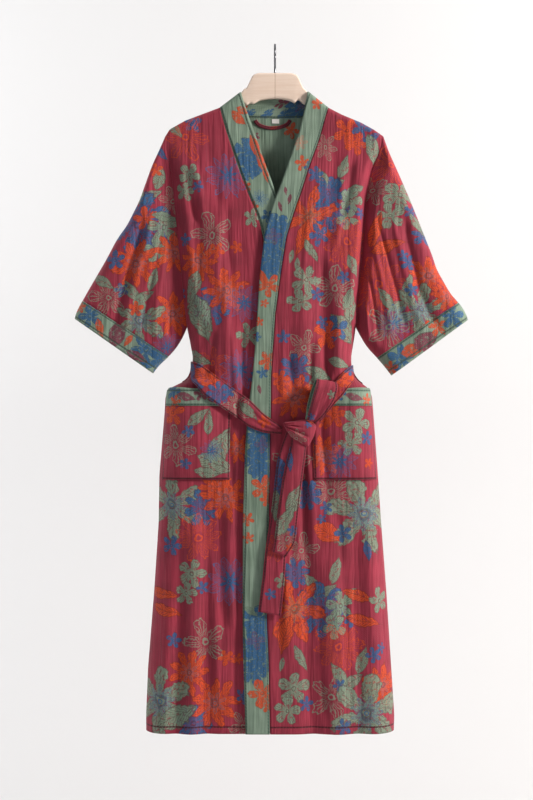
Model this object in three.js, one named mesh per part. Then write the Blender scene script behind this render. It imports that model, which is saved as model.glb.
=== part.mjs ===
import * as THREE from 'three';

// Wrap robe on a wooden hanger, in millimetres. +Z up, the wearer's front faces -Y.
// The origin is the inner top of the hanger's hook.

// Driving dimensions
const panelWall = 1.6;
const bandWall = 2.4;
const beltWall = 2.0;
const pocketWall = 1.4;
const pocketBulge = 7.6;
const seamGap = 0.3;
const armholeGap = 1.7;
const bandSeamGap = 0.5;
const layerLift = 0.7;
const underarmZ = -538;
const hemZ = -1311;
const shoulderRound = 9;
const armholePinch = 8;
const overlapStep = 5.4;
const cuffLength = 38;
const cuffLowerLength = 44;
const hookInnerRadius = 16;
const hookWire = 4;
const hangerThickness = 13;

// Cloth and hard materials
const roseCloth = new THREE.MeshStandardMaterial({ color: 0x9c4357, roughness: 0.6, metalness: 0 });
const sageCloth = new THREE.MeshStandardMaterial({ color: 0x839585, roughness: 0.62, metalness: 0 });
const paleWood = new THREE.MeshStandardMaterial({ color: 0xe8cfb8, roughness: 0.5, metalness: 0 });
const greySteel = new THREE.MeshStandardMaterial({ color: 0x5a5a5c, roughness: 0.35, metalness: 1 });
const whiteTape = new THREE.MeshStandardMaterial({ color: 0xf2efe8, roughness: 0.8, metalness: 0 });

// Half widths and depths of the body at each height: left and right edge x, depth to front and back
const bodySections = [
  { z: -174, left: -209.9, right: 207.4, front: 10, back: 10 },
  { z: -200, left: -208.5, right: 201, front: 15, back: 13 },
  { z: -240, left: -199, right: 184, front: 21, back: 17 },
  { z: -290, left: -194, right: 175, front: 25, back: 21 },
  { z: -350, left: -188.2, right: 171, front: 28, back: 24 },
  { z: -400, left: -183, right: 167, front: 30, back: 26 },
  { z: -460, left: -177, right: 161.5, front: 32, back: 28 },
  { z: -505, left: -172, right: 157, front: 33, back: 29 },
  { z: -538, left: -168.5, right: 154.5, front: 34, back: 30 },
  { z: -564, left: -163.2, right: 151, front: 34, back: 30 },
  { z: -596, left: -157, right: 145.5, front: 34, back: 30 },
  { z: -626, left: -158.5, right: 146.5, front: 34, back: 30 },
  { z: -643, left: -168, right: 157, front: 36, back: 32 },
  { z: -656, left: -201, right: 178, front: 39, back: 35 },
  { z: -672, left: -209.5, right: 185.5, front: 41, back: 36 },
  { z: -706, left: -211.4, right: 188.2, front: 42, back: 37 },
  { z: -823, left: -221.2, right: 196.8, front: 43, back: 38 },
  { z: -916, left: -222.7, right: 203.1, front: 44, back: 39 },
  { z: -1048, left: -231.4, right: 213.1, front: 46, back: 41 },
  { z: -1195, left: -243.1, right: 222.6, front: 49, back: 43 },
  { z: -1283, left: -246.7, right: 228.3, front: 51, back: 45 },
  { z: -1320, left: -246.4, right: 227, front: 52, back: 46 },
];

// Top line of the shoulders, rising toward the neck
const shoulderLine = [
  { x: -214, z: -182 },
  { x: -209.9, z: -174 },
  { x: -201.6, z: -160.7 },
  { x: -171.6, z: -144 },
  { x: -105.6, z: -119 },
  { x: -65.9, z: -89 },
  { x: 0, z: 0 },
  { x: 63, z: -88 },
  { x: 101.8, z: -119 },
  { x: 127.9, z: -132.5 },
  { x: 164.7, z: -147.8 },
  { x: 189.1, z: -161.3 },
  { x: 207.4, z: -174 },
  { x: 212, z: -182 },
];

// Seam between the back panel and the band that stands behind the neck
const backNeckSeam = [
  { x: -105.6, z: -119 },
  { x: -104.8, z: -121 },
  { x: -103.2, z: -124.5 },
  { x: -99, z: -128.5 },
  { x: -80, z: -133 },
  { x: -50, z: -136 },
  { x: 0, z: -137 },
  { x: 48, z: -136 },
  { x: 78, z: -133 },
  { x: 95.4, z: -128.5 },
  { x: 99.5, z: -124.5 },
  { x: 101, z: -121 },
  { x: 101.8, z: -119 },
];

// Front edge bands: seam with the front and free edge, a row for each crossing line from neck to hem
const rightBandRows = [
  { seamX: 101.8, seamZ: -119, freeX: 63, freeZ: -88 },
  { seamX: 97, seamZ: -134, freeX: 59, freeZ: -107 },
  { seamX: 84.5, seamZ: -180, freeX: 48, freeZ: -161 },
  { seamX: 63.4, seamZ: -238, freeX: 28, freeZ: -220 },
  { seamX: 48, seamZ: -287, freeX: 10, freeZ: -271 },
  { seamX: 36, seamZ: -321, freeX: -4, freeZ: -307 },
  { seamX: 20.7, seamZ: -372, freeX: -20, freeZ: -365 },
  { seamX: 9.6, seamZ: -445, freeX: -29.2, freeZ: -442 },
  { seamX: 0, seamZ: -518, freeX: -34, freeZ: -517 },
  { seamX: -4, seamZ: -578, freeX: -38, freeZ: -578 },
  { seamX: -7.7, seamZ: -637, freeX: -43, freeZ: -637 },
  { seamX: -8, seamZ: -705, freeX: -52, freeZ: -705 },
  { seamX: -9.6, seamZ: -776, freeX: -57, freeZ: -776 },
  { seamX: -11.5, seamZ: -910, freeX: -61, freeZ: -910 },
  { seamX: -15.4, seamZ: -1100, freeX: -61, freeZ: -1100 },
  { seamX: -12.3, seamZ: -1166, freeX: -60.3, freeZ: -1166 },
  { seamX: -9.6, seamZ: -1311, freeX: -55.7, freeZ: -1311 },
];
const leftBandRows = [
  { seamX: -105.6, seamZ: -119, freeX: -65.9, freeZ: -89 },
  { seamX: -101.5, seamZ: -135, freeX: -60, freeZ: -108 },
  { seamX: -95, seamZ: -159, freeX: -52, freeZ: -132 },
  { seamX: -80.6, seamZ: -203.5, freeX: -35, freeZ: -180 },
  { seamX: -65.9, seamZ: -247.7, freeX: -20, freeZ: -225 },
  { seamX: -51, seamZ: -285.7, freeX: -5, freeZ: -265 },
  { seamX: -30.7, seamZ: -335.6, freeX: 12, freeZ: -322 },
  { seamX: -19, seamZ: -385, freeX: 25, freeZ: -378 },
  { seamX: -12, seamZ: -445, freeX: 34.6, freeZ: -442 },
  { seamX: -7, seamZ: -518, freeX: 40, freeZ: -517 },
  { seamX: -3, seamZ: -578, freeX: 43, freeZ: -578 },
  { seamX: -1, seamZ: -640, freeX: 45, freeZ: -640 },
  { seamX: 0, seamZ: -776, freeX: 47, freeZ: -776 },
  { seamX: 4, seamZ: -1100, freeX: 51, freeZ: -1100 },
  { seamX: 2, seamZ: -1311, freeX: 49, freeZ: -1311 },
];

// Largest folds: ridges (+) and troughs (-) that run down the cloth, with top and bottom x and z
const frontFolds = [
  { height: -6, width: 15, topX: 92, topZ: -400, endX: 92, endZ: -660 },
  { height: 4, width: 13, topX: 50, topZ: -420, endX: 52, endZ: -650 },
  { height: 4, width: 12, topX: 118, topZ: -440, endX: 112, endZ: -640 },
  { height: -6, width: 15, topX: -152, topZ: -280, endX: -148, endZ: -480 },
  { height: -6, width: 14, topX: -135, topZ: -520, endX: -134, endZ: -650 },
  { height: 5, width: 14, topX: -100, topZ: -440, endX: -86, endZ: -640 },
  { height: -7, width: 17, topX: 48, topZ: -740, endX: 70, endZ: -1330 },
  { height: 6, width: 20, topX: 100, topZ: -950, endX: 121, endZ: -1330 },
  { height: -6, width: 17, topX: 152, topZ: -880, endX: 158, endZ: -1330 },
  { height: -6, width: 18, topX: -178, topZ: -880, endX: -190, endZ: -1330 },
  { height: 5, width: 18, topX: -150, topZ: -860, endX: -158, endZ: -1330 },
  { height: -6, width: 18, topX: -132, topZ: -820, endX: -126, endZ: -1330 },
];
const backFolds = [
  { height: -7, width: 22, topX: -95, topZ: -360, endX: -80, endZ: -640 },
  { height: 6, width: 24, topX: -8, topZ: -330, endX: -5, endZ: -640 },
  { height: -7, width: 22, topX: 78, topZ: -360, endX: 66, endZ: -640 },
  { height: 6, width: 22, topX: -152, topZ: -740, endX: -176, endZ: -1330 },
  { height: -8, width: 22, topX: -100, topZ: -690, endX: -120, endZ: -1330 },
  { height: 7, width: 24, topX: -45, topZ: -690, endX: -55, endZ: -1330 },
  { height: -8, width: 22, topX: 12, topZ: -690, endX: 12, endZ: -1330 },
  { height: 7, width: 24, topX: 66, topZ: -690, endX: 78, endZ: -1330 },
  { height: -7, width: 22, topX: 124, topZ: -720, endX: 146, endZ: -1330 },
];

// Sleeves in the front view: outer edge from the shoulder tip down to the cuff, lower edge from the
// underarm, and the line of the cuff's mouth
const leftSleeve = {
  sign: -1,
  outer: [[-210.8, -174], [-222, -200], [-236, -230], [-260, -298], [-283, -344], [-303, -372],
    [-324.5, -413], [-354, -463.7], [-369, -490], [-381, -512], [-383.4, -524]],
  lower: [[-171, -538], [-179, -559], [-190, -578], [-202, -593], [-216, -606], [-225.8, -615], [-234.5, -628]],
  valleyWidth: 46,
  depth: 19,
};
const rightSleeve = {
  sign: 1,
  outer: [[208.3, -174], [220, -207], [238, -247], [259, -296], [281, -351], [302.6, -406],
    [309, -428], [335.6, -475.4], [356.2, -498.8], [367, -516], [369, -526]],
  lower: [[157, -538], [166, -556], [176.6, -575.4], [187, -588], [197.4, -599], [211, -615], [224, -632]],
  valleyWidth: 18,
  depth: 23,
};

function clamp(value, low, high) {
  return Math.min(high, Math.max(low, value));
}

function mix(a, b, t) {
  return a + (b - a) * t;
}

function smooth(edgeA, edgeB, value) {
  const t = clamp((value - edgeA) / (edgeB - edgeA), 0, 1);
  return t * t * (3 - 2 * t);
}

// Straight interpolation in a table, with its key column running either way
function lookUp(rows, keyColumn, column, key) {
  const rising = rows[rows.length - 1][keyColumn] > rows[0][keyColumn];
  for (let i = 0; i < rows.length - 1; i++) {
    const next = rows[i + 1][keyColumn];
    const inside = rising ? key <= next : key >= next;
    if (inside || i === rows.length - 2) {
      const t = (key - rows[i][keyColumn]) / (next - rows[i][keyColumn]);
      return mix(rows[i][column], rows[i + 1][column], t);
    }
  }
  return rows[0][column];
}

function sectionAt(z) {
  const zIn = clamp(z, -1320, -174);
  return {
    left: lookUp(bodySections, 'z', 'left', zIn),
    right: lookUp(bodySections, 'z', 'right', zIn),
    front: lookUp(bodySections, 'z', 'front', zIn),
    back: lookUp(bodySections, 'z', 'back', zIn),
  };
}

function foldHeight(folds, x, z) {
  let sum = 0;
  for (const fold of folds) {
    const t = (z - fold.topZ) / (fold.endZ - fold.topZ);
    const centre = mix(fold.topX, fold.endX, clamp(t, 0, 1));
    const fade = smooth(0, 0.22, t) * (fold.endZ < hemZ ? 1 : 1 - smooth(0.82, 1, t));
    sum += fold.height * fade * Math.exp(-(((x - centre) / fold.width) ** 2));
  }
  return sum;
}

// Width of the rounded side, where the front turns into the back
function sideRound(z, sign) {
  const valley = sign < 0 ? 26 : 15;
  const section = sectionAt(z);
  return mix(valley, Math.min(section.front * 1.05, 46), smooth(underarmZ + 70, underarmZ, z));
}

// Share of the full depth at x, z: falls to nothing at the side seams and the shoulder line
function depthShare(x, z, fullDepth) {
  const section = sectionAt(z);
  const sign = x < (section.left + section.right) / 2 ? -1 : 1;
  const inside = sign < 0 ? x - section.left : section.right - x;
  const t = clamp(inside / sideRound(z, sign), 0, 1);
  const rounded = Math.sqrt(1 - (1 - t) * (1 - t));
  const waved = (1 - Math.cos(Math.PI * t)) / 2;
  const closing = smooth(underarmZ + 60, underarmZ + 2, z);
  const above = clamp((z - underarmZ) / 12, 0, 1);
  const pinch = (armholePinch / fullDepth) * Math.sqrt(1 - (1 - above) * (1 - above));
  const side = mix(pinch, 1, mix(waved, rounded, closing * (t > 0 ? 1 : 0)));
  const below = lookUp(shoulderLine, 'x', 'z', x) - z;
  const s = clamp(below / shoulderRound, 0, 1);
  return side * Math.sqrt(1 - (1 - s) * (1 - s));
}

// Which front layer: 'over' lies on 'under' where they cross
function frontY(x, z, layer) {
  const section = sectionAt(z);
  const neckFade = smooth(-120, -200, z);
  const depth = mix(10.5, section.front, neckFade);
  const crossed = smooth(-170, -250, z) * overlapStep * 0.5;
  const step = layer === 'over' ? crossed * (1 - smooth(58, 112, x)) : -crossed * smooth(-125, -72, x);
  const full = depth + step + foldHeight(frontFolds, x, z);
  return -Math.max(seamGap / 2, full * depthShare(x, z, full));
}

function backY(x, z) {
  const section = sectionAt(z);
  const depth = mix(10.5, section.back, smooth(-120, -220, z)) + foldHeight(backFolds, x, z);
  return Math.max(seamGap / 2, depth * depthShare(x, z, depth));
}

// Outward normal of the front or back at x, z
function clothNormal(surface, x, z, facing) {
  const step = 0.8;
  const section = sectionAt(z);
  const y0 = surface(x, z);
  if (Math.abs(y0) < 0.5) {
    if (lookUp(shoulderLine, 'x', 'z', x) - z < 1) {
      const rise = (lookUp(shoulderLine, 'x', 'z', x + 3) - lookUp(shoulderLine, 'x', 'z', x - 3)) / 6;
      return new THREE.Vector3(-rise, 0, 1).normalize();
    }
    return new THREE.Vector3(x < (section.left + section.right) / 2 ? -1 : 1, 0, 0);
  }
  const slopeX = (surface(x + step, z) - surface(x - step, z)) / (2 * step);
  const slopeZ = (surface(x, z + step) - surface(x, z - step)) / (2 * step);
  return new THREE.Vector3(-slopeX, 1, -slopeZ).normalize().multiplyScalar(facing);
}

// A closed wall of cloth around a grid of points, with a normal for each point
function wallGeometry(points, normals, thickness, closedRing = false) {
  const rows = points.length;
  const cols = points[0].length;
  const positions = [];
  const index = [];
  const at = (i, j, layer) => (layer * rows + i) * cols + (closedRing ? j % cols : j);
  for (let layer = 0; layer < 2; layer++) {
    const offset = layer === 0 ? thickness / 2 : -thickness / 2;
    for (let i = 0; i < rows; i++) {
      for (let j = 0; j < cols; j++) {
        const p = points[i][j].clone().addScaledVector(normals[i][j], offset);
        positions.push(p.x, p.y, p.z);
      }
    }
  }
  const quad = (a, b, c, d) => index.push(a, b, c, a, c, d);
  const spans = closedRing ? cols : cols - 1;
  for (let i = 0; i < rows - 1; i++) {
    for (let j = 0; j < spans; j++) {
      quad(at(i, j, 0), at(i + 1, j, 0), at(i + 1, j + 1, 0), at(i, j + 1, 0));
      quad(at(i, j, 1), at(i, j + 1, 1), at(i + 1, j + 1, 1), at(i + 1, j, 1));
    }
  }
  for (let j = 0; j < spans; j++) {
    quad(at(0, j, 1), at(0, j, 0), at(0, j + 1, 0), at(0, j + 1, 1));
    quad(at(rows - 1, j, 0), at(rows - 1, j, 1), at(rows - 1, j + 1, 1), at(rows - 1, j + 1, 0));
  }
  if (!closedRing) {
    for (let i = 0; i < rows - 1; i++) {
      quad(at(i, 0, 0), at(i, 0, 1), at(i + 1, 0, 1), at(i + 1, 0, 0));
      quad(at(i, cols - 1, 1), at(i, cols - 1, 0), at(i + 1, cols - 1, 0), at(i + 1, cols - 1, 1));
    }
  }
  const geometry = new THREE.BufferGeometry();
  geometry.setAttribute('position', new THREE.Float32BufferAttribute(positions, 3));
  geometry.setIndex(index);
  return faceOutward(geometry);
}

function signedVolume(geometry) {
  const p = geometry.attributes.position;
  const index = geometry.index;
  const a = new THREE.Vector3();
  const b = new THREE.Vector3();
  const c = new THREE.Vector3();
  let sum = 0;
  for (let i = 0; i < index.count; i += 3) {
    a.fromBufferAttribute(p, index.getX(i));
    b.fromBufferAttribute(p, index.getX(i + 1));
    c.fromBufferAttribute(p, index.getX(i + 2));
    sum += a.dot(b.cross(c)) / 6;
  }
  return sum;
}

function faceOutward(geometry) {
  if (signedVolume(geometry) < 0) {
    const list = geometry.index.array;
    for (let i = 0; i < list.length; i += 3) {
      [list[i], list[i + 1]] = [list[i + 1], list[i]];
    }
  }
  return geometry;
}

// Normals of a free grid, from its own points
function gridNormals(points, closedRing = false, flip = 1) {
  const rows = points.length;
  const cols = points[0].length;
  return points.map((row, i) => row.map((point, j) => {
    const up = points[Math.max(i - 1, 0)][j];
    const down = points[Math.min(i + 1, rows - 1)][j];
    const before = closedRing ? row[(j + cols - 1) % cols] : row[Math.max(j - 1, 0)];
    const after = closedRing ? row[(j + 1) % cols] : row[Math.min(j + 1, cols - 1)];
    const along = down.clone().sub(up);
    const across = after.clone().sub(before);
    return across.cross(along).normalize().multiplyScalar(flip);
  }));
}

const robe = new THREE.Group();

function addPiece(name, geometry, material) {
  geometry.computeVertexNormals();
  const mesh = new THREE.Mesh(geometry, material);
  mesh.name = name;
  robe.add(mesh);
}

// Heights of the panel rows, measured at the side
const rowLevels = [-174, -175.2, -178.5, -183, -200, -245, -295, -345, -395, -445, -490, -518, -530, -538,
  -560, -584, -605, -626, -643, -656, -682, -735, -795, -860, -925, -990, -1055, -1120, -1185, -1250, hemZ];

// Point heights keep the row's level at the sides, rise toward the neck in the upper rows and are
// level all across from the waist down
function rowZ(level, x, topLine) {
  const section = sectionAt(level);
  const across = clamp((x - section.left) / (section.right - section.left), 0, 1);
  const sideTop = mix(topLine(section.left), topLine(section.right), across);
  return level + (topLine(x) - sideTop) * (1 - smooth(0, 390, -174 - level));
}

function shoulderTop(x) {
  return lookUp(shoulderLine, 'x', 'z', x);
}

function backTop(x) {
  if (x > -105.6 && x < 101.8) {
    return lookUp(backNeckSeam, 'x', 'z', x) - seamGap / 2;
  }
  return shoulderTop(x);
}

function bandX(rows, z, column) {
  const zColumn = column === 'seamX' ? 'seamZ' : 'freeZ';
  return lookUp(rows, zColumn, column, z);
}

const sideAngles = [0, 30, 60, 90];

// Columns from a side seam to a front band's seam
function frontPanelGrid(sign, bandRows, layer) {
  const inner = 11;
  const points = [];
  const normals = [];
  const surface = (x, z) => frontY(x, z, layer);
  for (const level of rowLevels) {
    const section = sectionAt(level);
    const sideX = sign < 0 ? section.left : section.right;
    const round = Math.min(sideRound(level, sign), 46);
    let seamZ = level;
    let seamX = 0;
    for (let k = 0; k < 8; k++) {
      seamX = bandX(bandRows, seamZ, 'seamX') + sign * bandSeamGap;
      seamZ = rowZ(level, seamX, shoulderTop);
    }
    const xs = sideAngles.map((angle) => sideX - sign * round * (1 - Math.cos((angle * Math.PI) / 180)));
    const start = xs[xs.length - 1];
    for (let j = 1; j <= inner; j++) {
      xs.push(mix(start, seamX, j / inner));
    }
    const row = [];
    const normalRow = [];
    for (const x of xs) {
      const z = Math.max(rowZ(level, x, shoulderTop), hemZ);
      row.push(new THREE.Vector3(x, surface(x, z), z));
      normalRow.push(clothNormal(surface, x, z, -1));
    }
    points.push(row);
    normals.push(normalRow);
  }
  return { points, normals };
}

// Columns of the back between the neck's ends: close together at the ends, then even lower down
const neckColumns = [
  { atNeck: 0.0039, below: 0.08 },
  { atNeck: 0.0116, below: 0.16 },
  { atNeck: 0.0318, below: 0.25 },
  { atNeck: 0.12, below: 0.33 },
  { atNeck: 0.28, below: 0.42 },
  { atNeck: 0.5, below: 0.5 },
  { atNeck: 0.72, below: 0.58 },
  { atNeck: 0.88, below: 0.67 },
  { atNeck: 0.9691, below: 0.75 },
  { atNeck: 0.9889, below: 0.84 },
  { atNeck: 0.9961, below: 0.92 },
  { atNeck: 1, below: 1 },
];

// Back panel: columns from side to side, with the neck seam between two fixed columns
function backPanelGrid() {
  const points = [];
  const normals = [];
  rowLevels.forEach((level) => {
    const section = sectionAt(level);
    const leftRound = sideRound(level, -1);
    const rightRound = sideRound(level, 1);
    const fade = smooth(0, 420, -174 - level);
    const neckLeft = mix(-105.6, mix(section.left, section.right, 0.27), fade);
    const neckRight = mix(101.8, mix(section.left, section.right, 0.73), fade);
    const xs = sideAngles.map((angle) => section.left + leftRound * (1 - Math.cos((angle * Math.PI) / 180)));
    const start = xs[xs.length - 1];
    [1 / 3, 2 / 3, 1].forEach((t) => xs.push(mix(start, neckLeft, t)));
    neckColumns.forEach(({ atNeck, below }) => {
      xs.push(mix(neckLeft, neckRight, mix(atNeck, below, fade)));
    });
    [1 / 3, 2 / 3, 1].forEach((t) => xs.push(mix(neckRight, section.right - rightRound, t)));
    [...sideAngles].reverse().slice(1).forEach((angle) => {
      xs.push(section.right - rightRound * (1 - Math.cos((angle * Math.PI) / 180)));
    });
    const row = [];
    const normalRow = [];
    for (const x of xs) {
      const z = Math.max(rowZ(level, x, backTop), hemZ);
      row.push(new THREE.Vector3(x, backY(x, z), z));
      normalRow.push(clothNormal(backY, x, z, 1));
    }
    points.push(row);
    normals.push(normalRow);
  });
  return { points, normals };
}

const leftFront = frontPanelGrid(-1, leftBandRows, 'under');
const rightFront = frontPanelGrid(1, rightBandRows, 'over');
const backPanel = backPanelGrid();
addPiece('back', wallGeometry(backPanel.points, backPanel.normals, panelWall), roseCloth);
addPiece('left_front', wallGeometry(leftFront.points, leftFront.normals, panelWall), roseCloth);
addPiece('right_front', wallGeometry(rightFront.points, rightFront.normals, panelWall), roseCloth);

// Bands along the front edges: crossing lines from the seam to the free edge
function bandGrid(bandRows, layer) {
  const sign = bandRows[0].seamX < 0 ? -1 : 1;
  const surface = (x, z) => frontY(x, z, layer);
  const extra = [{ t: 0.1 }, { t: 0.35 }];
  const lines = [];
  bandRows.forEach((row, i) => {
    lines.push(row);
    if (i === 0) {
      extra.forEach(({ t }) => {
        const next = bandRows[1];
        lines.push({
          seamX: mix(row.seamX, next.seamX, t),
          seamZ: mix(row.seamZ, next.seamZ, t),
          freeX: mix(row.freeX, next.freeX, t),
          freeZ: mix(row.freeZ, next.freeZ, t),
        });
      });
    } else if (i < bandRows.length - 1 && row.seamZ - bandRows[i + 1].seamZ > 80) {
      const next = bandRows[i + 1];
      const steps = Math.ceil((row.seamZ - next.seamZ) / 60);
      for (let k = 1; k < steps; k++) {
        lines.push({
          seamX: mix(row.seamX, next.seamX, k / steps),
          seamZ: mix(row.seamZ, next.seamZ, k / steps),
          freeX: mix(row.freeX, next.freeX, k / steps),
          freeZ: mix(row.freeZ, next.freeZ, k / steps),
        });
      }
    }
  });
  const points = [];
  const normals = [];
  for (const line of lines) {
    const row = [];
    const normalRow = [];
    for (let j = 0; j <= 3; j++) {
      const t = j / 3;
      const x = mix(line.seamX - sign * bandSeamGap, line.freeX, t);
      const z = mix(line.seamZ, line.freeZ, t);
      row.push(new THREE.Vector3(x, surface(x, z), z));
      normalRow.push(clothNormal(surface, x, z, -1));
    }
    points.push(row);
    normals.push(normalRow);
  }
  return { points, normals };
}

const leftBand = bandGrid(leftBandRows, 'under');
const rightBand = bandGrid(rightBandRows, 'over');
addPiece('left_front_band', wallGeometry(leftBand.points, leftBand.normals, bandWall), sageCloth);
addPiece('right_front_band', wallGeometry(rightBand.points, rightBand.normals, bandWall), sageCloth);

// Band behind the neck, standing up from the back panel's neck seam
const neckBandRows = [
  { seamX: -105.6, seamZ: -119, topX: -65.9, topZ: -89 },
  { seamX: -104.8, seamZ: -121, topX: -65.2, topZ: -89.8 },
  { seamX: -103.2, seamZ: -124.5, topX: -63.6, topZ: -91 },
  { seamX: -99, seamZ: -128.5, topX: -60, topZ: -91 },
  { seamX: -80, seamZ: -133, topX: -50, topZ: -88 },
  { seamX: -50, seamZ: -136, topX: -33, topZ: -87 },
  { seamX: -25, seamZ: -136.5, topX: -17, topZ: -86.5 },
  { seamX: 0, seamZ: -137, topX: 0, topZ: -86 },
  { seamX: 24, seamZ: -136.5, topX: 16, topZ: -86.5 },
  { seamX: 48, seamZ: -136, topX: 31, topZ: -87 },
  { seamX: 78, seamZ: -133, topX: 48, topZ: -88 },
  { seamX: 95.4, seamZ: -128.5, topX: 57.5, topZ: -91 },
  { seamX: 99.5, seamZ: -124.5, topX: 60.8, topZ: -91 },
  { seamX: 101, seamZ: -121, topX: 62.3, topZ: -89.8 },
  { seamX: 101.8, seamZ: -119, topX: 63, topZ: -88 },
];

function neckBandGrid() {
  const points = [];
  const normals = [];
  for (const line of neckBandRows) {
    const row = [];
    const normalRow = [];
    for (let j = 0; j <= 3; j++) {
      const t = 0.02 + (j / 3) * 0.98;
      const x = mix(line.seamX, line.topX, t);
      const z = mix(line.seamZ, line.topZ, t);
      row.push(new THREE.Vector3(x, backY(x, z), z));
      normalRow.push(clothNormal(backY, x, z, 1));
    }
    points.push(row);
    normals.push(normalRow);
  }
  return { points, normals };
}

const neckBand = neckBandGrid();
addPiece('back_neck_band', wallGeometry(neckBand.points, neckBand.normals, bandWall), sageCloth);

// A point on a line of corners, at a share of its length
function alongLine(corners, t) {
  const lengths = [0];
  for (let i = 1; i < corners.length; i++) {
    lengths.push(lengths[i - 1] + Math.hypot(corners[i][0] - corners[i - 1][0], corners[i][1] - corners[i - 1][1]));
  }
  const target = t * lengths[lengths.length - 1];
  for (let i = 1; i < corners.length; i++) {
    if (target <= lengths[i] || i === corners.length - 1) {
      const s = (target - lengths[i - 1]) / (lengths[i] - lengths[i - 1]);
      return [mix(corners[i - 1][0], corners[i][0], s), mix(corners[i - 1][1], corners[i][1], s)];
    }
  }
  return corners[0];
}

function lineLength(corners) {
  let length = 0;
  for (let i = 1; i < corners.length; i++) {
    length += Math.hypot(corners[i][0] - corners[i - 1][0], corners[i][1] - corners[i - 1][1]);
  }
  return length;
}

function cuffSeamShare(sleeve) {
  return 1 - cuffLength / lineLength(sleeve.outer);
}

// The lower edge is shorter than the outer one, and the cuff is about as wide at both
function lowerShare(sleeve, t) {
  const seam = cuffSeamShare(sleeve);
  const lowerSeam = 1 - cuffLowerLength / lineLength(sleeve.lower);
  return t < seam ? (t / seam) * lowerSeam : mix(lowerSeam, 1, (t - seam) / (1 - seam));
}

// Front-view position on a sleeve: s from outer edge to lower edge, t from armhole to cuff mouth
function sleevePlace(sleeve, s, t) {
  const outer = alongLine(sleeve.outer, t);
  const lower = alongLine(sleeve.lower, lowerShare(sleeve, t));
  const outerStart = sleeve.outer[0];
  const lowerStart = sleeve.lower[0];
  const z = mix(outerStart[1], lowerStart[1], s);
  const section = sectionAt(z);
  const armX = (sleeve.sign < 0 ? section.left : section.right) + sleeve.sign * armholeGap;
  const straightX = mix(outerStart[0], lowerStart[0], s);
  const shape = (1 - t) * (armX - straightX);
  return [mix(outer[0], lower[0], s) + shape, mix(outer[1], lower[1], s)];
}

function sleeveRing(sleeve, t, count) {
  const ring = [];
  for (let k = 0; k < count; k++) {
    const angle = (2 * Math.PI * k) / count;
    const s = (1 - Math.cos(angle)) / 2;
    const [x, z] = sleevePlace(sleeve, s, t);
    const [armX] = sleevePlace(sleeve, s, 0);
    const away = Math.abs(x - armX);
    const open = (1 - Math.cos(Math.PI * clamp(away / sleeve.valleyWidth, 0, 1))) / 2;
    const full = mix(armholePinch, sleeve.depth, open);
    const length = Math.hypot(sleevePlace(sleeve, 1, t)[0] - sleevePlace(sleeve, 0, t)[0],
      sleevePlace(sleeve, 1, t)[1] - sleevePlace(sleeve, 0, t)[1]);
    const edge = clamp((Math.min(s, 1 - s) * length) / full, 0, 1);
    const y = -Math.sign(Math.sin(angle)) * full * Math.sqrt(1 - (1 - edge) * (1 - edge));
    ring.push(new THREE.Vector3(x, Math.abs(Math.sin(angle)) < 1e-6 ? 0 : y, z));
  }
  return ring;
}

const ringCount = 20;

function addSleeve(side, sleeve) {
  const seamShare = cuffSeamShare(sleeve);
  const gapShare = seamGap / lineLength(sleeve.lower);
  const sleeveShares = [0, 0.03, 0.07, 0.14, 0.24, 0.36, 0.48, 0.6, 0.72, 0.82, seamShare - gapShare];
  const cuffShares = [seamShare, (1 + seamShare) / 2, 1];
  const sleeveRings = sleeveShares.map((t) => sleeveRing(sleeve, t, ringCount));
  const cuffRings = cuffShares.map((t) => sleeveRing(sleeve, t, ringCount));
  const flip = -sleeve.sign;
  addPiece(`${side}_sleeve`, wallGeometry(sleeveRings, gridNormals(sleeveRings, true, flip), panelWall, true), roseCloth);
  addPiece(`${side}_cuff`, wallGeometry(cuffRings, gridNormals(cuffRings, true, flip), panelWall + 0.4, true), sageCloth);
}

addSleeve('left', leftSleeve);
addSleeve('right', rightSleeve);

// The outermost front surface, with the step at the over band's free edge made gentle
function outerFrontY(x, z, reach = 0) {
  let y = 0;
  for (const dx of [-reach, 0, reach]) {
    const section = sectionAt(z);
    const px = clamp(x + dx, section.left, section.right);
    const freeX = bandX(rightBandRows, z, 'freeX') - 2;
    const over = px >= freeX;
    const isBand = over && px <= bandX(rightBandRows, z, 'seamX') + 2;
    const wall = (isBand ? bandWall : panelWall) / 2;
    y = Math.min(y, frontY(px, z, over ? 'over' : 'under') - wall);
  }
  return y;
}

// How far the pocket's mouth stands open at x, z
function pocketPuff(pocket, t, z) {
  const middle = Math.sin(Math.PI * clamp(t / pocket.openShare, 0, 1)) ** 0.8;
  return pocketBulge * middle * lookUp(pocketRows, 'z', 'puff', z);
}

// Normal of the front's outer face
function outerNormal(x, z) {
  const section = sectionAt(z);
  const step = 1.5;
  const low = Math.max(x - step, section.left);
  const high = Math.min(x + step, section.right);
  const slopeX = (outerFrontY(high, z) - outerFrontY(low, z)) / (high - low);
  const slopeZ = (outerFrontY(x, z + step) - outerFrontY(x, z - step)) / (2 * step);
  return new THREE.Vector3(slopeX, -1, slopeZ).normalize();
}

// Patch pockets: closed round three edges, slightly open at the mouth below the contrast band
const pocketRows = [
  { z: -650, puff: 1 },
  { z: -690, puff: 1 },
  { z: -720, puff: 1 },
  { z: -755, puff: 0.92 },
  { z: -790, puff: 0.72 },
  { z: -815, puff: 0.42 },
  { z: -826, puff: 0.16 },
  { z: -831, puff: 0 },
];
const pocketSeamZ = -691;
const leftPocket = { side: 'left', outerX: [-204.5, -207, -213.5], innerX: [-84, -84, -87], openShare: 0.85 };
const rightPocket = { side: 'right', outerX: [180, 182.5, 192], innerX: [70, 70, 73], openShare: 0.85 };

// Column shares of a pocket, close together where it follows the rounded side
const pocketColumns = [0, 0.035, 0.09, 0.17, 0.27, 0.4, 0.55, 0.7, 0.85, 1];

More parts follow.
